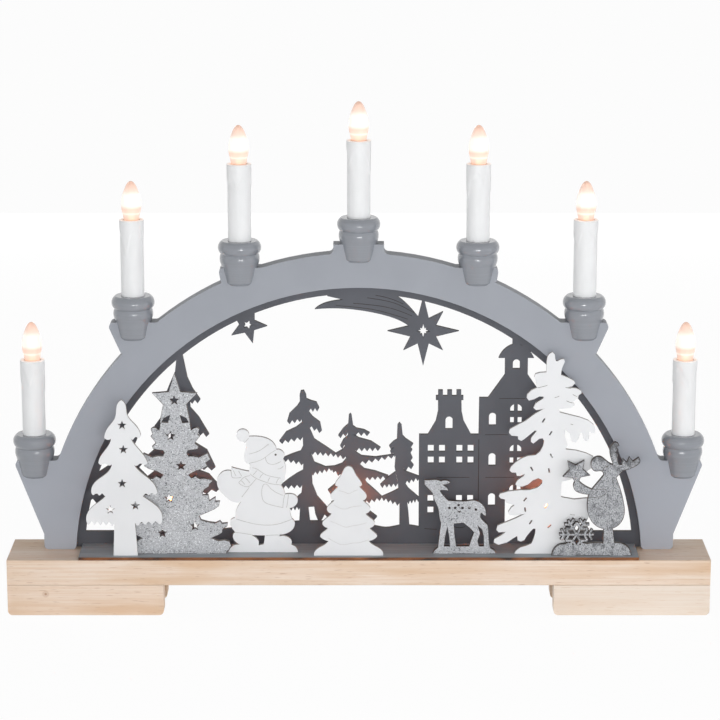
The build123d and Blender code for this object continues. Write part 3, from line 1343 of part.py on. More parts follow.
def make_lamps():
    """The lampholders and bulbs: seven in the candles, then three behind the figures."""
    for number in range(len(candle_x_shares)):
        x, _ = candle_place(number)
        rim = sleeve_foot(number) + sleeve_length
        make_holder(f"candle_lampholder_{number + 1}", x, arch_middle, rim - holder_drop, 0)
        make_glass(f"candle_bulb_glass_{number + 1}", x, arch_middle, rim - glass_sink)
        make_cap(f"candle_bulb_cap_{number + 1}", x, arch_middle, rim - glass_sink)
    for number in range(len(scene_lamp_x_shares)):
        x = scene_lamp_place(number)
        top = platform_top + scene_holder_rise
        neck = top + holder_drop - glass_sink
        make_holder(f"scene_lampholder_{number + 1}", x, scene_lamp_y, top, scene_holder_rise)
        make_glass(f"scene_bulb_glass_{number + 1}", x, scene_lamp_y, neck)
        make_cap(f"scene_bulb_cap_{number + 1}", x, scene_lamp_y, neck)


make_plank()
make_feet()
make_arch()
make_back_panel()
make_platform()
make_white_tree()
make_glitter_tree()
make_gift_bringer()
make_small_tree()
make_fawn()
make_tall_tree()
make_moose()
for candle in range(len(candle_x_shares)):
    make_cup(candle)
    make_sleeve(candle)
make_lamps()
make_wiring()
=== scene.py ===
from math import atan2, cos, hypot, pi, radians

import bmesh
import bpy
from mathutils import Matrix, Vector


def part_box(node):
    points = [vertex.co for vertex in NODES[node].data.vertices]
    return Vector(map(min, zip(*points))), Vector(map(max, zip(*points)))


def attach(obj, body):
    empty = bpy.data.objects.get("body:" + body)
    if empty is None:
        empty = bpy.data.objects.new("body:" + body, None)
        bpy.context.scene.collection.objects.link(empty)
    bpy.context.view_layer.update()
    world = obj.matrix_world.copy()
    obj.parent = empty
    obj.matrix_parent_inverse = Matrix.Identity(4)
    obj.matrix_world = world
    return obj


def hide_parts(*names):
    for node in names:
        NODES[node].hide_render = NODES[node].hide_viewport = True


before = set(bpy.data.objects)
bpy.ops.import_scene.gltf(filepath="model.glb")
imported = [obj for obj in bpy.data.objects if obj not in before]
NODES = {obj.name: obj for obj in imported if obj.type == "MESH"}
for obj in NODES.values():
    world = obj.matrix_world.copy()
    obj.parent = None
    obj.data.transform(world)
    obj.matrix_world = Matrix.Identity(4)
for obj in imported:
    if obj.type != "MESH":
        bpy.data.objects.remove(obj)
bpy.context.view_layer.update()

bl_info = {
    "name": "Candle arch dressing",
    "version": (1, 0, 0),
    "blender": (4, 5, 0),
    "location": "3D View > Sidebar > Candle arch",
    "description": "Paints, engraves and lights the candle arch",
    "category": "Object",
}

MM = 0.001
STAND = "stand"
CANDLES = range(1, 8)
SCENE_LAMPS = range(1, 4)

# Merging and shading
WELD_DISTANCE = 0.002 * MM
POLE_DISTANCE = 0.001 * MM
CREASE_ANGLE = radians(28)
FRONT_TOLERANCE = 0.01 * MM

# How far a face's normal points along an axis: below the first it is a cut, above the others a front or a top
CUT_FACING = 0.6
FRONT_FACING = 0.9
TOP_FACING = 0.5

# Sockets of a colour mix, by their place in the node
MIX_FACTOR = 0
MIX_FIRST = 6
MIX_SECOND = 7
MIX_RESULT = 2


def linear(code):
    """A linear colour from an sRGB hex code."""
    channels = [int(code[i:i + 2], 16) / 255 for i in (1, 3, 5)]
    return tuple(c / 12.92 if c <= 0.04045 else ((c + 0.055) / 1.055) ** 2.4 for c in channels) + (1.0,)


def add_node(tree, kind, links=None, **settings):
    """Adds a node, sets its properties and inputs, and links the inputs that are given as sockets."""
    node = tree.nodes.new(kind)
    for name, value in settings.items():
        setattr(node, name, value)
    for name, value in (links or {}).items():
        if isinstance(value, bpy.types.NodeSocket):
            tree.links.new(value, node.inputs[name])
        else:
            node.inputs[name].default_value = value
    return node


def new_material(name, **values):
    """A material with one Principled shader, whose plain values are set on its own sockets."""
    material = bpy.data.materials.new(name)
    material.use_nodes = True
    tree = material.node_tree
    shader = tree.nodes["Principled BSDF"]
    for label, value in values.items():
        shader.inputs[label.replace("_", " ")].default_value = value
    return material, tree, shader


def ramp(tree, factor, *stops):
    """A colour ramp from pairs of place and hex code."""
    node = add_node(tree, "ShaderNodeValToRGB", {"Fac": factor})
    elements = node.color_ramp.elements
    while len(elements) < len(stops):
        elements.new(0.5)
    for element, (place, code) in zip(elements, stops):
        element.position = place
        element.color = linear(code)
    return node.outputs["Color"]


def object_place(tree):
    """The place of a point on its object."""
    return add_node(tree, "ShaderNodeTexCoord").outputs["Object"]


def stretched(tree, size_mm, offset=(0, 0, 0)):
    """Object coordinates measured in a pattern's own sizes, given in millimetres along X, Y and Z."""
    scale = [1 / (length * MM) for length in size_mm]
    mapping = add_node(
        tree, "ShaderNodeMapping", {"Vector": object_place(tree), "Location": offset, "Scale": scale}
    )
    return mapping.outputs["Vector"]


def noise(tree, size_mm, detail, offset=(0, 0, 0), roughness=0.5):
    """Noise between zero and one, with blotches of the given sizes in millimetres."""
    place = stretched(tree, size_mm, offset)
    node = add_node(
        tree, "ShaderNodeTexNoise", {"Vector": place, "Scale": 1.0, "Detail": detail, "Roughness": roughness}
    )
    return node.outputs["Fac"]


def along(tree, vector, axis):
    """A vector's part along one axis."""
    return add_node(tree, "ShaderNodeSeparateXYZ", {"Vector": vector}).outputs[axis]


def normal_along(tree, axis):
    """How far a surface faces along one axis."""
    return along(tree, add_node(tree, "ShaderNodeNewGeometry").outputs["Normal"], axis)


def reckon(tree, operation, *values):
    """One step of arithmetic on sockets and numbers."""
    return add_node(tree, "ShaderNodeMath", dict(enumerate(values)), operation=operation).outputs[0]


def fade(tree, value, start, end, first, last):
    """Runs from first to last while a value goes from start to end."""
    limits = {"From Min": start, "From Max": end, "To Min": first, "To Max": last}
    return add_node(tree, "ShaderNodeMapRange", {"Value": value, **limits}).outputs["Result"]


def cut_edge(tree):
    """One on faces that run from front to rear, where the saw or laser cut, and zero on the painted faces.
    Burnt cuts take their colour through it, and so does the arch's darker grey on its edges and top, which is
    painted shade.
    """
    size = reckon(tree, "ABSOLUTE", normal_along(tree, "Y"))
    return reckon(tree, "LESS_THAN", size, CUT_FACING)


def blend(tree, factor, first, second):
    """Mixes two colours, each a socket or a hex code."""
    values = {MIX_FACTOR: factor}
    for index, value in ((MIX_FIRST, first), (MIX_SECOND, second)):
        values[index] = linear(value) if isinstance(value, str) else value
    return add_node(tree, "ShaderNodeMix", values, data_type="RGBA").outputs[MIX_RESULT]


def colour_by(tree, shader, colour):
    """Links a colour to the shader."""
    tree.links.new(colour, shader.inputs["Base Color"])


def roughen(tree, shader, height, depth_mm):
    """A bump of the given depth from a height between zero and one."""
    bump = add_node(tree, "ShaderNodeBump", {"Height": height, "Strength": 1.0, "Distance": depth_mm * MM})
    tree.links.new(bump.outputs["Normal"], shader.inputs["Normal"])


def paint(names, material):
    """Gives CAD nodes a material."""
    for name in names:
        piece = NODES[name]
        piece.data.materials.clear()
        piece.data.materials.append(material)


def smooth(names):
    """Smooth shading that stops at creases, on nodes that stay as CAD made them."""
    for name in names:
        piece = NODES[name]
        piece.data.polygons.foreach_set("use_smooth", [True] * len(piece.data.polygons))
        weld = piece.modifiers.new("Weld", "WELD")
        weld.merge_threshold = WELD_DISTANCE
        crease = piece.modifiers.new("Creases", "EDGE_SPLIT")
        crease.split_angle = CREASE_ANGLE


def store(shape, name):
    """Turns a bmesh into a mesh and frees it."""
    mesh = bpy.data.meshes.new(name)
    shape.to_mesh(mesh)
    shape.free()
    return mesh


def finish_piece(name, mesh, material, body):
    """Makes a mesh a piece of the object that moves with a body."""
    piece = bpy.data.objects.new(name, mesh)
    bpy.context.scene.collection.objects.link(piece)
    mesh.materials.append(material)
    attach(piece, body)
    return piece


def turned(name, profile, x, y, steps=48):
    """A mesh turned about an upright axis from a profile of radius and height, closed at its poles."""
    shape = bmesh.new()
    points = [shape.verts.new((x + radius, y, height)) for radius, height in profile]
    edges = [shape.edges.new(pair) for pair in zip(points, points[1:])]
    bmesh.ops.spin(
        shape, geom=points + edges, cent=(x, y, 0), axis=(0, 0, 1), angle=2 * pi, steps=steps, use_merge=True
    )
    bmesh.ops.remove_doubles(shape, verts=shape.verts, dist=POLE_DISTANCE)
    bmesh.ops.recalc_face_normals(shape, faces=shape.faces)
    for face in shape.faces:
        face.smooth = True
    return store(shape, name)


class CandleArchLooks(bpy.types.PropertyGroup):
    """Strengths and sizes that a user would change."""

    glow: bpy.props.FloatProperty(
        name="Glow", description="Strength of the lit bulbs", default=0.18, min=0.0, soft_max=5.0
    )
    scene_glow: bpy.props.FloatProperty(
        name="Scene glow", description="Strength of the bulbs behind the figures",
        default=13.0, min=0.0, soft_max=40.0,
    )
    line_width: bpy.props.FloatProperty(
        name="Engraved line", description="Width of the engraved lines", default=0.0004, unit="LENGTH"
    )
    line_height: bpy.props.FloatProperty(
        name="Line height", description="How far an engraved line's burnt edge stands proud", default=0.00004,
        unit="LENGTH",
    )
    flake_mm: bpy.props.FloatProperty(
        name="Glitter flake", description="Size of a glitter flake in millimetres", default=0.5
    )


def looks():
    return bpy.context.scene.candle_arch_looks


KNOT_RADIUS = 2.6 * MM
KNOT_INSET = 24.5 * MM
KNOT_HEIGHT = 14.2 * MM


# Pine, planed and left bare: pale sapwood with soft tan clouds, straight streaks and short brown resin dashes
def pine(name, offset, pale, tan, dash, knot=None):
    material, tree, shader = new_material(name, Roughness=0.55)
    clouds = noise(tree, (70, 22, 9), 3.0, offset)
    streaks = noise(tree, (60, 1.8, 1.2), 4.0, offset, 0.6)
    dashes = noise(tree, (9, 1.1, 0.6), 1.0, offset)
    wood = ramp(tree, clouds, (0.42, pale), (0.7, tan))
    lines = ramp(tree, streaks, (0.43, "#000000"), (0.7, "#D8D8D8"))
    wood = blend(tree, lines, wood, tan)
    marks = ramp(tree, dashes, (0.655, "#000000"), (0.75, "#B8B8B8"))
    wood = blend(tree, marks, wood, dash)
    if knot:
        spot = add_node(tree, "ShaderNodeVectorMath", {0: object_place(tree), 1: knot}, operation="DISTANCE")
        share = reckon(tree, "DIVIDE", spot.outputs["Value"], KNOT_RADIUS)
        ring = ramp(tree, share, (0.2, "#E0E0E0"), (0.45, "#6E6E6E"), (0.6, "#9C9C9C"), (1.0, "#000000"))
        wood = blend(tree, ring, wood, dash)
    colour_by(tree, shader, wood)
    roughen(tree, shader, streaks, 0.06)
    return material


class CANDLEARCH_OT_base(bpy.types.Operator):
    """Gives the plank and each foot its own board of pine"""

    bl_idname = "candlearch.base"
    bl_label = "Pine base"

    def execute(self, context):
        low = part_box("foot_front_left")[0]
        knot = (low.x + KNOT_INSET, low.y, low.z + KNOT_HEIGHT)
        for node, label, offset, pale, tan, dash, place in (
            ("base_plank", "plank", (0.0, 0.0, 0.0), "#EAD8C8", "#DABB9D", "#A5734C", None),
            ("foot_front_left", "left front foot", (3.1, 0.7, 5.2), "#EAD7C6", "#DABB9E", "#A5734C", knot),
            ("foot_front_right", "right front foot", (7.7, 2.1, 9.4), "#EADDD0", "#E3D0BE", "#D2B69A", None),
            ("foot_rear_left", "left rear foot", (11.2, 4.4, 1.3), "#E4CDB6", "#D6B592", "#A5734C", None),
            ("foot_rear_right", "right rear foot", (15.9, 6.3, 7.1), "#E7D3BF", "#D8B998", "#A5734C", None),
        ):
            paint([node], pine(f"Planed pine, {label}", offset, pale, tan, dash, place))
        return {"FINISHED"}


# Heights between which the arch's paint fades from a lighter grey at its legs: painted light, which stands in
# for light falling on the legs
PAINTED_LIGHT_FADE_START = 60 * MM
PAINTED_LIGHT_FADE_END = 220 * MM


# Satin paint on fine board: an even grey with a soft sheen, barely rough from the roller. Where a foot colour
# is given, the face is painted lighter towards the bottom, which is painted light
def board_paint(name, colour, shade, edge, grain_mm, roughness, foot=None):
    material, tree, shader = new_material(name, Roughness=roughness)
    cloud = noise(tree, (35, 35, 60), 3.0)
    grain = noise(tree, (grain_mm, grain_mm, grain_mm), 2.0)
    face = ramp(tree, cloud, (0.3, shade), (0.6, colour))
    # Painted light: the face fades to the lighter foot colour towards the bottom
    if foot:
        height = along(tree, object_place(tree), "Z")
        share = fade(tree, height, PAINTED_LIGHT_FADE_START, PAINTED_LIGHT_FADE_END, 1.0, 0.0)
        face = blend(tree, share, face, foot)
    colour_by(tree, shader, blend(tree, cut_edge(tree), face, edge))
    roughen(tree, shader, grain, 0.03)
    return material


class CANDLEARCH_OT_arch(bpy.types.Operator):
    """Paints the arch"""

    bl_idname = "candlearch.arch"
    bl_label = "Arch"

    def execute(self, context):
        satin = board_paint(
            # The edge grey, darker than the face, on the arch's cut edges and top is painted shade
            "Satin grey paint on board with painted light and shade", "#979BA3", "#92969E", "#83868C",
            # The foot grey is painted light on the arch's legs
            grain_mm=0.6, roughness=0.5, foot="#A3A7B0",
        )
        paint(["arch"], satin)
        smooth(["arch"])
        return {"FINISHED"}


# A laser's burnt cut: dark brown, matt, with lighter scorch marks
def burnt_line_material(name, dark, light):
    material, tree, shader = new_material(name, Roughness=0.85)
    patches = noise(tree, (3, 3, 3), 2.0)
    colour_by(tree, shader, ramp(tree, patches, (0.3, dark), (0.7, light)))
    return material


def engrave(name, lines, corner, size, front, material):
    """Engraved lines on an upright face: smooth curves through shares of the face's width and height."""
    curve = bpy.data.curves.new(name, "CURVE")
    curve.dimensions = "3D"
    curve.bevel_depth = looks().line_width / 2
    curve.bevel_resolution = 1
    curve.resolution_u = 6
    for line in lines:
        spline = curve.splines.new("NURBS")
        spline.points.add(len(line) - 1)
        for point, (u, v) in zip(spline.points, line):
            point.co = (corner[0] + u * size[0], front, corner[1] + v * size[1], 1.0)
        spline.order_u = 3
        spline.use_endpoint_u = True
    holder = bpy.data.objects.new(name, curve)
    bpy.context.scene.collection.objects.link(holder)
    graph = bpy.context.evaluated_depsgraph_get()
    mesh = bpy.data.meshes.new_from_object(holder.evaluated_get(graph))
    bpy.data.objects.remove(holder)
    shape = bmesh.new()
    shape.from_mesh(mesh)
    flat = looks().line_height / curve.bevel_depth
    bmesh.ops.scale(shape, vec=(1, flat, 1), space=Matrix.Translation((0, -front, 0)), verts=shape.verts)
    shape.to_mesh(mesh)
    shape.free()
    mesh.materials.clear()
    return finish_piece(name, mesh, material, STAND)


PANEL_RADIUS = 178 * MM

# Shares of the panel's radius, from the plank's top
comet_streaks = (
    [(0.19, 0.862), (0.13, 0.888), (0.05, 0.903), (-0.02, 0.908)],
    [(0.2, 0.872), (0.15, 0.902), (0.09, 0.92), (0.03, 0.928)],
    [(0.175, 0.85), (0.10, 0.875), (0.02, 0.892), (-0.08, 0.9)],
    [(0.16, 0.905), (0.11, 0.93), (0.06, 0.937)],
)
house_lines = (
    [(0.434, 0.08), (0.434, 0.2), (0.434, 0.405)],
    [(0.506, 0.557), (0.55, 0.558), (0.6, 0.557)],
    [(0.456, 0.422), (0.5, 0.423), (0.538, 0.422)],
    [(0.282, 0.262), (0.34, 0.263), (0.401, 0.262)],
    [(0.459, 0.262), (0.51, 0.263), (0.564, 0.262)],
    [(0.239, 0.069), (0.26, 0.066), (0.285, 0.066)],
    [(0.347, 0.077), (0.365, 0.067), (0.387, 0.076)],
)


class CANDLEARCH_OT_panel(bpy.types.Operator):
    """Paints the back panel and engraves the comet's tail and the houses' storeys"""

    bl_idname = "candlearch.panel"
    bl_label = "Back panel"

    def execute(self, context):
        matt = board_paint(
            "Matt dark grey paint on thin board", "#595B62", "#515359", "#3C3530", grain_mm=0.8, roughness=0.7
        )
        paint(["back_panel"], matt)
        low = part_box("back_panel")[0]
        line = burnt_line_material("Burnt line in dark paint", "#2A2624", "#3A3532")
        size = (PANEL_RADIUS, PANEL_RADIUS)
        engrave("panel_lines", comet_streaks + house_lines, (0, low.z), size, low.y, line)
        return {"FINISHED"}


# Matt grey paint on the platform, rubbed along its length, with a scorched brown front edge
def platform_paint():
    material, tree, shader = new_material("Matt grey paint, scorched edge", Roughness=0.65)
    rubbed = noise(tree, (40, 1.5, 3), 4.0)
    scorch = noise(tree, (18, 30, 6), 3.0)
    top = ramp(tree, rubbed, (0.3, "#8A9096"), (0.65, "#A3A9AE"))
    edge = ramp(tree, scorch, (0.38, "#2A1A10"), (0.5, "#6E4022"), (0.72, "#8E5A33"))
    side = reckon(tree, "LESS_THAN", normal_along(tree, "Z"), TOP_FACING)
    colour_by(tree, shader, blend(tree, side, top, edge))
    roughen(tree, shader, rubbed, 0.04)
    return material


class CANDLEARCH_OT_platform(bpy.types.Operator):
    """Paints the platform"""

    bl_idname = "candlearch.platform"
    bl_label = "Platform"

    def execute(self, context):
        paint(["platform"], platform_paint())
        return {"FINISHED"}


# Glitter on grey paint: an even silver grey of fine flakes, some of them bright and some turned away and dark
def glitter(name, dark, middle, light):
    material, tree, shader = new_material(name, Roughness=0.45, Metallic=0.1)
    flake = looks().flake_mm
    place = stretched(tree, (flake, flake, flake))
    cells = add_node(tree, "ShaderNodeTexVoronoi", {"Vector": place, "Scale": 1.0})
    patches = noise(tree, (14, 14, 14), 2.0)
    value = add_node(tree, "ShaderNodeSeparateColor", {"Color": cells.outputs["Color"]}).outputs["Red"]
    thick = reckon(tree, "MULTIPLY", patches, 0.3)
    mixed = reckon(tree, "MULTIPLY_ADD", value, 0.7, thick)
    face = ramp(tree, mixed, (0.14, dark), (0.3, middle), (0.7, middle), (0.86, light))
    colour_by(tree, shader, blend(tree, cut_edge(tree), face, "#3A2A22"))
    roughen(tree, shader, value, 0.06)
    return material


# Silver paint rubbed off a dark ground: fine grey specks, with darker patches and tips where it has worn
def rubbed_silver(name, tips):
    material, tree, shader = new_material(name, Roughness=0.5, Metallic=0.1)
    worn = noise(tree, (4, 4, 6), 5.0, roughness=0.7)
    specks = noise(tree, (0.7, 0.7, 1.0), 2.0, roughness=0.6)
    height = along(tree, object_place(tree), "Z")
    upper = fade(tree, height, tips[0], tips[1], 0.0, 0.16)
    left = reckon(tree, "SUBTRACT", worn, upper)
    face = ramp(tree, specks, (0.32, "#4C4E52"), (0.46, "#9A9CA0"), (0.7, "#C2C4C8"))
    bare = ramp(tree, left, (0.36, "#DCDCDC"), (0.5, "#000000"))
    face = blend(tree, bare, face, "#3E4044")
    colour_by(tree, shader, blend(tree, cut_edge(tree), face, "#2E2926"))
    roughen(tree, shader, specks, 0.08)
    return material


# Shares of each figure's width and height
gift_bringer_lines = (
    [(0.345, 0.892), (0.37, 0.905), (0.4, 0.93)],
    [(0.40, 0.80), (0.50, 0.815), (0.58, 0.848), (0.645, 0.88)],
    [(0.40, 0.725), (0.52, 0.742), (0.60, 0.772), (0.66, 0.805), (0.73, 0.832)],
    [(0.605, 0.775), (0.61, 0.735), (0.67, 0.715), (0.73, 0.718), (0.795, 0.74)],
    [(0.755, 0.68), (0.80, 0.68), (0.823, 0.702)],
    [(0.41, 0.64), (0.47, 0.605), (0.58, 0.578), (0.68, 0.555), (0.79, 0.55)],
    [(0.44, 0.69), (0.49, 0.685), (0.56, 0.65), (0.64, 0.62), (0.79, 0.605)],
    [(0.45, 0.632), (0.475, 0.65), (0.50, 0.668)],
    [(0.53, 0.605), (0.545, 0.625), (0.575, 0.642)],
    [(0.63, 0.575), (0.64, 0.595), (0.66, 0.612)],
    [(0.735, 0.562), (0.745, 0.585), (0.765, 0.602)],
    [(0.41, 0.625), (0.36, 0.622), (0.31, 0.60), (0.27, 0.568)],
    [(0.27, 0.568), (0.30, 0.545), (0.39, 0.53), (0.44, 0.565), (0.485, 0.598)],
    [(0.30, 0.585), (0.32, 0.575), (0.345, 0.553)],
    [(0.35, 0.608), (0.38, 0.592), (0.41, 0.565)],
    [(0.18, 0.66), (0.175, 0.61), (0.235, 0.605), (0.30, 0.61)],
    [(0.205, 0.668), (0.22, 0.645), (0.238, 0.622)],
    [(0.27, 0.662), (0.29, 0.642), (0.308, 0.62)],
    [(0.40, 0.53), (0.36, 0.495), (0.305, 0.45)],
    [(0.82, 0.465), (0.75, 0.48), (0.67, 0.515), (0.61, 0.565), (0.56, 0.545), (0.55, 0.46), (0.58, 0.405),
     (0.70, 0.38), (0.82, 0.365)],
    [(0.838, 0.47), (0.82, 0.42), (0.815, 0.37)],
    [(0.885, 0.473), (0.878, 0.42), (0.86, 0.365)],
    [(0.235, 0.272), (0.40, 0.238), (0.55, 0.222), (0.70, 0.222), (0.80, 0.238), (0.92, 0.268)],
    [(0.225, 0.163), (0.32, 0.155), (0.42, 0.143)],
    [(0.6, 0.138), (0.68, 0.14), (0.76, 0.142)],
)
small_tree_lines = (
    [(0.36, 0.73), (0.43, 0.72), (0.5, 0.69), (0.58, 0.725), (0.63, 0.74)],
    [(0.29, 0.57), (0.37, 0.53), (0.46, 0.52), (0.55, 0.555), (0.69, 0.56)],
    [(0.24, 0.39), (0.37, 0.345), (0.46, 0.315), (0.54, 0.335), (0.62, 0.34), (0.76, 0.37)],
    [(0.2, 0.2), (0.34, 0.13), (0.45, 0.12), (0.56, 0.145), (0.66, 0.14), (0.79, 0.18)],
)
tall_tree_lines = (
    [(0.416, 0.826), (0.465, 0.83), (0.512, 0.838)],
    [(0.587, 0.778), (0.61, 0.779), (0.632, 0.785)],
    [(0.693, 0.828), (0.72, 0.823), (0.75, 0.823)],
    [(0.766, 0.793), (0.79, 0.786), (0.81, 0.783)],
    [(0.705, 0.762), (0.735, 0.754), (0.766, 0.751)],
    [(0.75, 0.648), (0.762, 0.645), (0.775, 0.645)],
    [(0.76, 0.198), (0.785, 0.194), (0.81, 0.195)],
)
moose_lines = (
    [(0.44, 0.588), (0.52, 0.582), (0.60, 0.592), (0.625, 0.565), (0.59, 0.53), (0.52, 0.515), (0.43, 0.515)],
    [(0.56, 0.745), (0.58, 0.76), (0.6, 0.79)],
)
scorched_widths = {"glitter_tree": 0.25 * MM, "fawn": 0.22 * MM, "moose": 0.34 * MM}

# How far below the moose's top its antlers begin to darken, and where they are darkest
ANTLER_START = 16 * MM
ANTLER_END = 8 * MM


def figure_lines(name, node, lines, material):
    """Engraved lines on a figure's front, above its tabs."""
    low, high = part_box(node)
    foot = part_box("platform")[1].z
    engrave(name, lines, (low.x, foot), (high.x - low.x, high.z - foot), low.y, material)


def lift(shape, vector, **options):
    """Extrudes all of a shape's faces and moves the new ones."""
    raised = bmesh.ops.extrude_face_region(shape, geom=shape.faces[:], **options)
    moved = [item for item in raised["geom"] if isinstance(item, bmesh.types.BMVert)]
    bmesh.ops.translate(shape, vec=vector, verts=moved)


def lies_in_front(face, front):
    """Whether a face is part of a figure's front."""
    near = abs(face.calc_center_median().y - front) <= FRONT_TOLERANCE
    return near and abs(face.normal.y) >= FRONT_FACING


def scorched_edge(node, width, material):
    """A thin burnt line that follows the outline of a figure's front, holes included."""
    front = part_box(node)[0].y
    shape = bmesh.new()
    shape.from_mesh(NODES[node].data)
    bmesh.ops.remove_doubles(shape, verts=shape.verts, dist=WELD_DISTANCE)
    others = [face for face in shape.faces if not lies_in_front(face, front)]
    bmesh.ops.delete(shape, geom=others, context="FACES")
    middle = shape.faces[:]
    bmesh.ops.inset_region(shape, faces=middle, thickness=width, use_boundary=True, use_even_offset=False)
    bmesh.ops.delete(shape, geom=middle, context="FACES")
    lift(shape, (0, -looks().line_height, 0), use_keep_orig=True)
    bmesh.ops.recalc_face_normals(shape, faces=shape.faces)
    finish_piece(node + "_scorch", store(shape, node + "_scorch"), material, STAND)


def dot(name, node, place, radius, material):
    """A small burnt dot on a figure's front, such as an eye."""
    low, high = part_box(node)
    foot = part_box("platform")[1].z
    shape = bmesh.new()
    bmesh.ops.create_circle(shape, cap_ends=True, radius=radius, segments=16)
    lift(shape, (0, 0, 2 * looks().line_height))
    x = low.x + place[0] * (high.x - low.x)
    z = foot + place[1] * (high.z - foot)
    spot = Matrix.Translation((x, low.y + looks().line_height, z))
    bmesh.ops.transform(shape, matrix=spot @ Matrix.Rotation(pi / 2, 4, "X"), verts=shape.verts)
    bmesh.ops.recalc_face_normals(shape, faces=shape.faces)
    finish_piece(name, store(shape, name), material, STAND)


class CANDLEARCH_OT_figures(bpy.types.Operator):
    """Paints the figures and engraves their lines"""

    bl_idname = "candlearch.figures"
    bl_label = "Figures"

    def execute(self, context):
        self.paints()
        self.lines()
        return {"FINISHED"}

    def paints(self):
        white = board_paint(
            "Matt white paint on thin board", "#E6E7E9", "#E0E1E3", "#A39D98", grain_mm=0.7, roughness=0.6
        )
        paint(["white_tree", "gift_bringer", "small_tree", "tall_tree"], white)
        paint(["glitter_tree"], glitter("Silver glitter on grey paint", "#5E6064", "#B6B8BC", "#E6E8EA"))
        paint(["fawn"], glitter("Fine silver glitter", "#66686C", "#B3B5B9", "#D6D8DB"))
        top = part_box("moose")[1].z
        antlers = (top - ANTLER_START, top - ANTLER_END)
        paint(["moose"], rubbed_silver("Silver paint rubbed to its ground", antlers))

    def lines(self):
        pale = burnt_line_material("Engraved line in white paint", "#AFAEAD", "#C4C3C2")
        dark = burnt_line_material("Burnt line in silver paint", "#55524F", "#6E6B68")
        figure_lines("gift_bringer_lines", "gift_bringer", gift_bringer_lines, pale)
        faint = burnt_line_material("Faint engraved line in white paint", "#CBCACA", "#D6D5D5")
        figure_lines("small_tree_lines", "small_tree", small_tree_lines, faint)
        grey = burnt_line_material("Deep engraved line in white paint", "#86837F", "#9C9A97")
        figure_lines("tall_tree_lines", "tall_tree", tall_tree_lines, grey)
        figure_lines("moose_lines", "moose", moose_lines, dark)
        burnt = burnt_line_material("Scorched edge", "#241B16", "#4A3A30")
        for node, width in scorched_widths.items():
            scorched_edge(node, width, burnt)
        dot("gift_bringer_eye", "gift_bringer", (0.73, 0.795), 0.7 * MM, dark)
        dot("moose_eye", "moose", (0.62, 0.785), 0.6 * MM, dark)


# Grey lacquer on turned wood: deep gloss with sharp small highlights
def cup_lacquer():
    material, tree, shader = new_material(
        "Gloss grey lacquer on turned wood", Roughness=0.2, Coat_Weight=0.6, Coat_Roughness=0.06
    )
    rings = noise(tree, (60, 60, 0.8), 2.0)
    colour_by(tree, shader, ramp(tree, rings, (0.3, "#868A91"), (0.7, "#8A8E95")))
    roughen(tree, shader, rings, 0.003)
    return material


class CANDLEARCH_OT_cups(bpy.types.Operator):
    """Lacquers the candle cups"""

    bl_idname = "candlearch.cups"
    bl_label = "Candle cups"

    def execute(self, context):
        cups = [f"candle_cup_{number}" for number in CANDLES]
        paint(cups, cup_lacquer())
        smooth(cups)
        return {"FINISHED"}


# How strongly a sleeve's upward faces glow, a painted glow that stands in for the bulb's light through the
# rim, and how far upward its faces turn from the first glow to the full
RIM_PAINTED_GLOW = 0.4
RIM_PAINTED_GLOW_START = 0.3
RIM_PAINTED_GLOW_END = 0.9


# Moulded polypropylene: even white with a soft wide highlight, and a painted glow on its upward faces that
# stands in for the bulb's light through the rim
def sleeve_plastic():
    material, tree, shader = new_material(
        "Moulded white polypropylene with a painted glow at the rim", Roughness=0.5, Emission_Color=linear("#FFE4D2")
    )
    # Painted glow: faces that turn upward emit a pale peach light, though the sleeve is no lamp
    painted_glow = fade(tree, normal_along(tree, "Z"), RIM_PAINTED_GLOW_START, RIM_PAINTED_GLOW_END, 0.0, RIM_PAINTED_GLOW)
    tree.links.new(painted_glow, shader.inputs["Emission Strength"])
    wax = noise(tree, (5, 5, 20), 2.0)
    colour_by(tree, shader, ramp(tree, wax, (0.3, "#E8E9EA"), (0.7, "#EDEEEF")))
    roughen(tree, shader, wax, 0.12)
    return material


# Sleeve and the wax on it
SLEEVE_RADIUS = 7.35 * MM
SLEEVE_BORE = 6.05 * MM
SLEEVE_LIP = 5.6 * MM
SLEEVE_SKIN = 0.6 * MM
SLEEVE_ROWS = 72
SLEEVE_STEPS = 96
WAX_THICKNESS = 0.45 * MM
WAX_COLLAR = 9 * MM
WAX_EASE = 3.0 * MM
WAX_TURN = 0.37

# Rim and lip, from outside to inside: radius, and depth below the top
sleeve_mouth = (
    (SLEEVE_RADIUS, 0.5 * MM),
    (SLEEVE_RADIUS - 0.15 * MM, 0.15 * MM),
    (SLEEVE_RADIUS - 0.5 * MM, 0.0),
    (SLEEVE_LIP + 0.3 * MM, 0.0),
    (SLEEVE_LIP, 0.3 * MM),
    (SLEEVE_LIP, 2.5 * MM),
    (SLEEVE_BORE, 3.2 * MM),
)

# How far wax has run down at even steps round a sleeve, as shares of the collar's length
wax_run_shares = (0.8, 1.9, 1.0, 0.7, 1.3, 2.6, 1.1, 0.75, 1.6, 0.9, 2.1, 1.0)


def wax_run(turn):
    """How far the wax reaches at a turn between zero and one, eased between the steps of the table."""
    count = len(wax_run_shares)
    place = turn % 1 * count
    step = int(place)
    near = wax_run_shares[step % count]
    far = wax_run_shares[(step + 1) % count]
    ease = (1 - cos(pi * (place - step))) / 2
    return near + (far - near) * ease


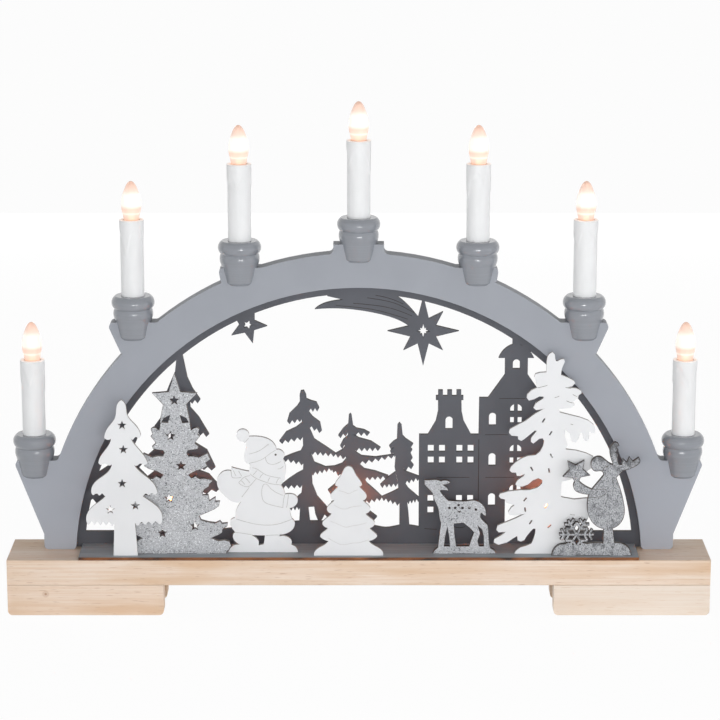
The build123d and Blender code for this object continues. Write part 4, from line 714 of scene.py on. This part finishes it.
def make_sleeve(number, material):
    """A sleeve with soft wax that has run down from its rim to a different depth all round."""
    node = f"candle_sleeve_{number}"
    low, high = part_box(node)
    x, y = (low.x + high.x) / 2, (low.y + high.y) / 2
    length = high.z - low.z
    outer = [(SLEEVE_RADIUS, low.z + length * row / SLEEVE_ROWS) for row in range(SLEEVE_ROWS)]
    mouth = [(radius, high.z - depth) for radius, depth in sleeve_mouth]
    profile = outer + mouth + [(SLEEVE_BORE, low.z)] + outer[:1]
    mesh = turned(node + "_wax", profile, x, y, SLEEVE_STEPS)
    for vertex in mesh.vertices:
        across, back = vertex.co.x - x, vertex.co.y - y
        distance = hypot(across, back)
        if distance > SLEEVE_RADIUS - SLEEVE_SKIN:
            turn = atan2(back, across) / (2 * pi) + WAX_TURN * number
            above = vertex.co.z - (high.z - WAX_COLLAR * wax_run(turn))
            swell = min(max(above / WAX_EASE, 0), 1)
            grow = 1 + WAX_THICKNESS * swell * swell * (3 - 2 * swell) / distance
            vertex.co.x, vertex.co.y = x + across * grow, y + back * grow
    piece = finish_piece(node + "_wax", mesh, material, STAND)
    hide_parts(node)


class CANDLEARCH_OT_sleeves(bpy.types.Operator):
    """Gives the candle sleeves and the lampholders their plastics"""

    bl_idname = "candlearch.sleeves"
    bl_label = "Candle sleeves and lampholders"

    def execute(self, context):
        plastic = sleeve_plastic()
        for number in CANDLES:
            make_sleeve(number, plastic)
        holders = [f"candle_lampholder_{number}" for number in CANDLES]
        holders += [f"scene_lampholder_{number}" for number in SCENE_LAMPS]
        phenolic = board_paint(
            "Moulded off-white phenolic", "#DAD7CF", "#D2CFC6", "#DAD7CF", grain_mm=0.5, roughness=0.45
        )
        paint(holders, phenolic)
        smooth(holders)
        return {"FINISHED"}


# The lit glass's colours at shares of its length, from neck to tip, and where its light grows to the full
glow_stops = (
    (0.125, "#F1D2BF"), (0.24, "#F6DFD2"), (0.275, "#FFF6EE"), (0.31, "#F6DFD2"), (0.38, "#F3D9CA"),
    (0.46, "#FFFAF4"), (0.7, "#FFFBF6"), (0.79, "#F8E4D8"), (0.91, "#F4DACB"), (1.0, "#EBCAB6"),
)
GLOW_START = 0.6
GLOW_END = 0.82
SCENE_GLOW_LOWEST = 0.3
SCENE_WARMTH = 0.9


# Blown glass, lit from inside: white round the filament, peach at the tip and round the neck
def lit_glass(name, strength, lowest, warmth):
    material, tree, shader = new_material(name, Roughness=0.04, IOR=1.5, Transmission_Weight=0.3)
    share = along(tree, add_node(tree, "ShaderNodeTexCoord").outputs["UV"], "Y")
    glow = ramp(tree, share, *glow_stops)
    colour_by(tree, shader, glow)
    tree.links.new(blend(tree, warmth, glow, "#FF8340"), shader.inputs["Emission Color"])
    level = fade(tree, share, GLOW_START, GLOW_END, lowest, strength)
    tree.links.new(level, shader.inputs["Emission Strength"])
    return material


# Rolled brass: warm yellow metal with fine turning marks
def cap_brass():
    material, tree, shader = new_material("Rolled brass", Metallic=1.0, Roughness=0.3)
    marks = noise(tree, (20, 20, 0.4), 2.0)
    colour_by(tree, shader, ramp(tree, marks, (0.3, "#C9A14E"), (0.7, "#DDB968")))
    roughen(tree, shader, marks, 0.01)
    return material


# Tungsten at white heat, with its drawn marks too fine to see
def hot_filament():
    material, tree, shader = new_material("Glowing tungsten", Roughness=0.5, Emission_Strength=3.0)
    marks = noise(tree, (0.3, 0.3, 0.3), 1.0)
    heat = ramp(tree, marks, (0.3, "#FFD9A8"), (0.7, "#FFEBD0"))
    tree.links.new(heat, shader.inputs["Emission Color"])
    colour_by(tree, shader, heat)
    return material


GLASS_WALL = 0.6 * MM

# Shares of the glass's radius and length, from its neck to its tip
glass_outline = (
    (0.7, 0.0), (0.73, 0.08), (0.77, 0.157), (0.815, 0.21), (0.86, 0.26), (0.905, 0.305), (0.945, 0.35),
    (0.98, 0.41), (1.0, 0.475), (0.98, 0.54), (0.94, 0.6), (0.88, 0.66), (0.79, 0.73), (0.69, 0.79),
    (0.57, 0.86), (0.44, 0.92), (0.3, 0.962), (0.15, 0.99), (0.0, 1.0),
)


def make_glass(node, body, material):
    """A blown bulb with an inner wall, whose glow runs along its length."""
    low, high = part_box(node)
    x, y = (low.x + high.x) / 2, (low.y + high.y) / 2
    radius = (high.x - low.x) / 2
    length = high.z - low.z
    outer = [(u * radius, low.z + v * length) for u, v in glass_outline]
    inner = [
        (max(u * radius - GLASS_WALL, 0), low.z + v * length - GLASS_WALL * v * v) for u, v in glass_outline
    ]
    mesh = turned(node + "_blown", outer + inner[::-1] + outer[:1], x, y)
    layer = mesh.uv_layers.new(name="glow")
    for loop in mesh.loops:
        height = mesh.vertices[loop.vertex_index].co.z
        layer.data[loop.index].uv = (0.5, (height - low.z) / length)
    piece = finish_piece(node + "_blown", mesh, material, body)
    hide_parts(node)


# Cap: the contact's radius and height above the foot, then the thread
cap_contact = ((0.0, 0.0), (1.2 * MM, 0.0), (1.6 * MM, 0.4 * MM), (1.7 * MM, 1.6 * MM))
CAP_GAP = 0.1 * MM
CAP_CONE_TOP = 4.4 * MM
CAP_STEPS = 32
THREAD_START = 4.5 * MM
THREAD_PITCH = 1.81 * MM
THREAD_RIDGES = 5
SKIRT_EDGE = 0.3 * MM

# Shares of the cap's radius, and of the thread's pitch between which a ridge is highest
THREAD_ROOT = 0.9
CAP_SHOULDER = 0.92
thread_crest = (0.35, 0.6)

# Stem, leads and filament, with heights above the glass's neck
STEM_HEIGHT = 6.5 * MM
STEM_FOOT_RADIUS = 1.5 * MM
STEM_TIP_RADIUS = 1.0 * MM
LEAD_LENGTH = 12 * MM
LEAD_FOOT_RADIUS = 0.25 * MM
LEAD_TIP_RADIUS = 0.2 * MM
LEAD_LEAN = 0.09
LEAD_SHARE = 0.75
FILAMENT_HALF = 2.2 * MM
FILAMENT_HEIGHT = 11.6 * MM
FILAMENT_RADIUS = 0.22 * MM


def cap_profile(radius, foot, skirt):
    """A cap's section from its contact to its skirt, with the ridges of its thread."""
    profile = [(across, foot + rise) for across, rise in cap_contact]
    profile.append((CAP_SHOULDER * radius, foot + CAP_CONE_TOP))
    root = THREAD_ROOT * radius
    for ridge in range(THREAD_RIDGES):
        level = foot + THREAD_START + ridge * THREAD_PITCH
        profile.append((root, level))
        profile += [(radius, level + share * THREAD_PITCH) for share in thread_crest]
    return profile + [(root, skirt - SKIRT_EDGE), (CAP_SHOULDER * radius, skirt), (0, skirt)]


def filament_shape(x, y, neck, skirt):
    """Two leads, a bent filament between them and the stem that holds them."""
    shape = bmesh.new()
    for side in (-1, 1):
        lead = Matrix.Translation((x + side * FILAMENT_HALF * LEAD_SHARE, y, neck + LEAD_LENGTH / 2))
        bmesh.ops.create_cone(
            shape, cap_ends=True, segments=8, radius1=LEAD_FOOT_RADIUS, radius2=LEAD_TIP_RADIUS,
            depth=LEAD_LENGTH, matrix=lead @ Matrix.Rotation(side * LEAD_LEAN, 4, "Y"),
        )
    level = neck + FILAMENT_HEIGHT
    start = Matrix.Translation((x - FILAMENT_HALF, y, level))
    ring = bmesh.ops.create_circle(shape, radius=FILAMENT_RADIUS, segments=8, cap_ends=True, matrix=start)
    faces = list({face for vert in ring["verts"] for face in vert.link_faces})
    bmesh.ops.spin(
        shape, geom=faces, cent=(x, y, level), axis=(0, 1, 0), angle=pi, steps=10, use_merge=False
    )
    stem = neck + STEM_HEIGHT
    bmesh.ops.create_cone(
        shape, cap_ends=True, segments=12, radius1=STEM_FOOT_RADIUS, radius2=STEM_TIP_RADIUS,
        depth=stem - skirt, matrix=Matrix.Translation((x, y, (skirt + stem) / 2)),
    )
    bmesh.ops.recalc_face_normals(shape, faces=shape.faces)
    return shape


def make_cap(node, glass_node, body, brass, filament):
    """A threaded cap with its contact, and the stem, leads and filament inside the glass."""
    low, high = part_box(node)
    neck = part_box(glass_node)[0].z
    x, y = (low.x + high.x) / 2, (low.y + high.y) / 2
    skirt = neck - CAP_GAP
    profile = cap_profile((high.x - low.x) / 2, low.z, skirt)
    mesh = turned(node + "_threaded", profile, x, y, CAP_STEPS)
    cap = finish_piece(node + "_threaded", mesh, brass, body)
    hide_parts(node)
    inside = store(filament_shape(x, y, neck, skirt), node + "_filament")
    finish_piece(node + "_filament", inside, filament, body)


class CANDLEARCH_OT_bulbs(bpy.types.Operator):
    """Blows the bulbs' glass and makes their caps and filaments"""

    bl_idname = "candlearch.bulbs"
    bl_label = "Bulbs"

    def execute(self, context):
        brass = cap_brass()
        filament = hot_filament()
        candle_glass = lit_glass("Blown glass, lit", looks().glow, looks().glow, 0.0)
        scene_glass = lit_glass(
            "Blown glass, lit behind the figures", looks().scene_glow, SCENE_GLOW_LOWEST, SCENE_WARMTH
        )
        for group, numbers, glass in (("candle", CANDLES, candle_glass), ("scene", SCENE_LAMPS, scene_glass)):
            for number in numbers:
                glass_node, cap_node = f"{group}_bulb_glass_{number}", f"{group}_bulb_cap_{number}"
                make_glass(glass_node, f"{group}_bulb_{number}_glass", glass)
                make_cap(cap_node, glass_node, f"{group}_bulb_{number}_cap", brass, filament)
        return {"FINISHED"}


class CANDLEARCH_OT_wiring(bpy.types.Operator):
    """Gives the wires their insulation"""

    bl_idname = "candlearch.wiring"
    bl_label = "Wiring"

    def execute(self, context):
        insulation = board_paint(
            "Extruded white insulation", "#D9D8D3", "#CFCEC8", "#D9D8D3", grain_mm=0.4, roughness=0.4
        )
        paint(["wiring"], insulation)
        return {"FINISHED"}


FLOOR_HALF = 6.0
FLOOR_GLOW = 0.96
WORLD_LIGHT = 0.34
LAMP_AIM = Vector((0, 0, 0.15))
LENS_MM = 135.38
SENSOR_MM = 36.0
CAMERA_PLACE = (0.00084, -1.6738, 0.5663)
CAMERA_TILT = radians(76.45)

# Each lamp's name, place, width, height and power, and whether gloss shows it
studio_lamps = (
    ("front_strip", (0.05, -0.75, 0.24), 0.36, 0.06, 1.3, True),
    ("low_front_fill", (0.1, -0.9, 0.06), 2.4, 0.12, 2.0, False),
    ("front_soft", (0.3, -1.7, 0.3), 3.0, 0.6, 4.5, False),
    ("left_soft", (-1.5, -0.6, 0.2), 1.0, 1.0, 5.5, False),
    ("right_soft", (1.5, -0.6, 0.2), 1.0, 1.0, 8.5, False),
    ("low_rear_fill", (0.0, 1.4, 0.1), 2.4, 0.2, 10.0, False),
)


class CANDLEARCH_OT_stage(bpy.types.Operator):
    """Sets the floor, the light and the camera"""

    bl_idname = "candlearch.stage"
    bl_label = "Stage"

    def execute(self, context):
        self.floor()
        self.world()
        self.lamps()
        self.camera()
        context.scene.view_settings.view_transform = "Standard"
        return {"FINISHED"}

    def seen(self, tree):
        """One for rays that show the background: from the camera, and through gloss and glass."""
        path = add_node(tree, "ShaderNodeLightPath").outputs
        both = reckon(tree, "MAXIMUM", path["Is Camera Ray"], path["Is Glossy Ray"])
        return reckon(tree, "MAXIMUM", both, path["Is Transmission Ray"])

    def floor(self):
        shape = bmesh.new()
        bmesh.ops.create_grid(shape, x_segments=1, y_segments=1, size=FLOOR_HALF)
        mesh = store(shape, "floor")
        floor = bpy.data.objects.new("floor", mesh)
        bpy.context.scene.collection.objects.link(floor)
        material, tree, shader = new_material("Pale paper floor", Roughness=0.9, Base_Color=linear("#F4F4F4"))
        light = add_node(tree, "ShaderNodeEmission", {"Color": linear("#FFFFFF"), "Strength": 1.0})
        share = reckon(tree, "MULTIPLY", self.seen(tree), FLOOR_GLOW)
        mix = add_node(tree, "ShaderNodeMixShader", {0: share, 1: shader.outputs[0], 2: light.outputs[0]})
        tree.links.new(mix.outputs[0], tree.nodes["Material Output"].inputs["Surface"])
        mesh.materials.append(material)

    def world(self):
        world = bpy.data.worlds.new("studio")
        bpy.context.scene.world = world
        world.use_nodes = True
        tree = world.node_tree
        background = tree.nodes["Background"]
        background.inputs["Color"].default_value = linear("#FFFFFF")
        level = fade(tree, self.seen(tree), 0.0, 1.0, WORLD_LIGHT, 1.0)
        tree.links.new(level, background.inputs["Strength"])

    def lamps(self):
        for name, place, width, height, power, glints in studio_lamps:
            lamp = bpy.data.lights.new(name, "AREA")
            lamp.shape = "RECTANGLE"
            lamp.size = width
            lamp.size_y = height
            lamp.energy = power
            holder = bpy.data.objects.new(name, lamp)
            bpy.context.scene.collection.objects.link(holder)
            aim = LAMP_AIM - Vector(place)
            holder.location = place
            holder.rotation_euler = aim.to_track_quat("-Z", "Y").to_euler()
            holder.visible_camera = False
            holder.visible_glossy = glints

    def camera(self):
        lens = bpy.data.cameras.new("camera")
        lens.lens = LENS_MM
        lens.sensor_width = SENSOR_MM
        holder = bpy.data.objects.new("camera", lens)
        bpy.context.scene.collection.objects.link(holder)
        holder.location = CAMERA_PLACE
        holder.rotation_euler = (CAMERA_TILT, 0, 0)
        bpy.context.scene.camera = holder


OPERATORS = (
    CANDLEARCH_OT_base,
    CANDLEARCH_OT_arch,
    CANDLEARCH_OT_panel,
    CANDLEARCH_OT_platform,
    CANDLEARCH_OT_figures,
    CANDLEARCH_OT_cups,
    CANDLEARCH_OT_sleeves,
    CANDLEARCH_OT_bulbs,
    CANDLEARCH_OT_wiring,
    CANDLEARCH_OT_stage,
)


class CANDLEARCH_PT_panel(bpy.types.Panel):
    """Lists the steps that dress the candle arch"""

    bl_idname = "CANDLEARCH_PT_panel"
    bl_label = "Candle arch"
    bl_space_type = "VIEW_3D"
    bl_region_type = "UI"
    bl_category = "Candle arch"

    def draw(self, context):
        for name in ("glow", "scene_glow", "line_width", "line_height", "flake_mm"):
            self.layout.prop(context.scene.candle_arch_looks, name)
        for operator in OPERATORS:
            self.layout.operator(operator.bl_idname)


CLASSES = (CandleArchLooks, *OPERATORS, CANDLEARCH_PT_panel)


def register():
    for item in CLASSES:
        bpy.utils.register_class(item)
    bpy.types.Scene.candle_arch_looks = bpy.props.PointerProperty(type=CandleArchLooks)


def unregister():
    del bpy.types.Scene.candle_arch_looks
    for item in reversed(CLASSES):
        bpy.utils.unregister_class(item)


def main():
    register()
    bpy.ops.candlearch.base()
    bpy.ops.candlearch.arch()
    bpy.ops.candlearch.panel()
    bpy.ops.candlearch.platform()
    bpy.ops.candlearch.figures()
    bpy.ops.candlearch.cups()
    bpy.ops.candlearch.sleeves()
    bpy.ops.candlearch.bulbs()
    bpy.ops.candlearch.wiring()
    bpy.ops.candlearch.stage()


if __name__ == "__main__":
    main()
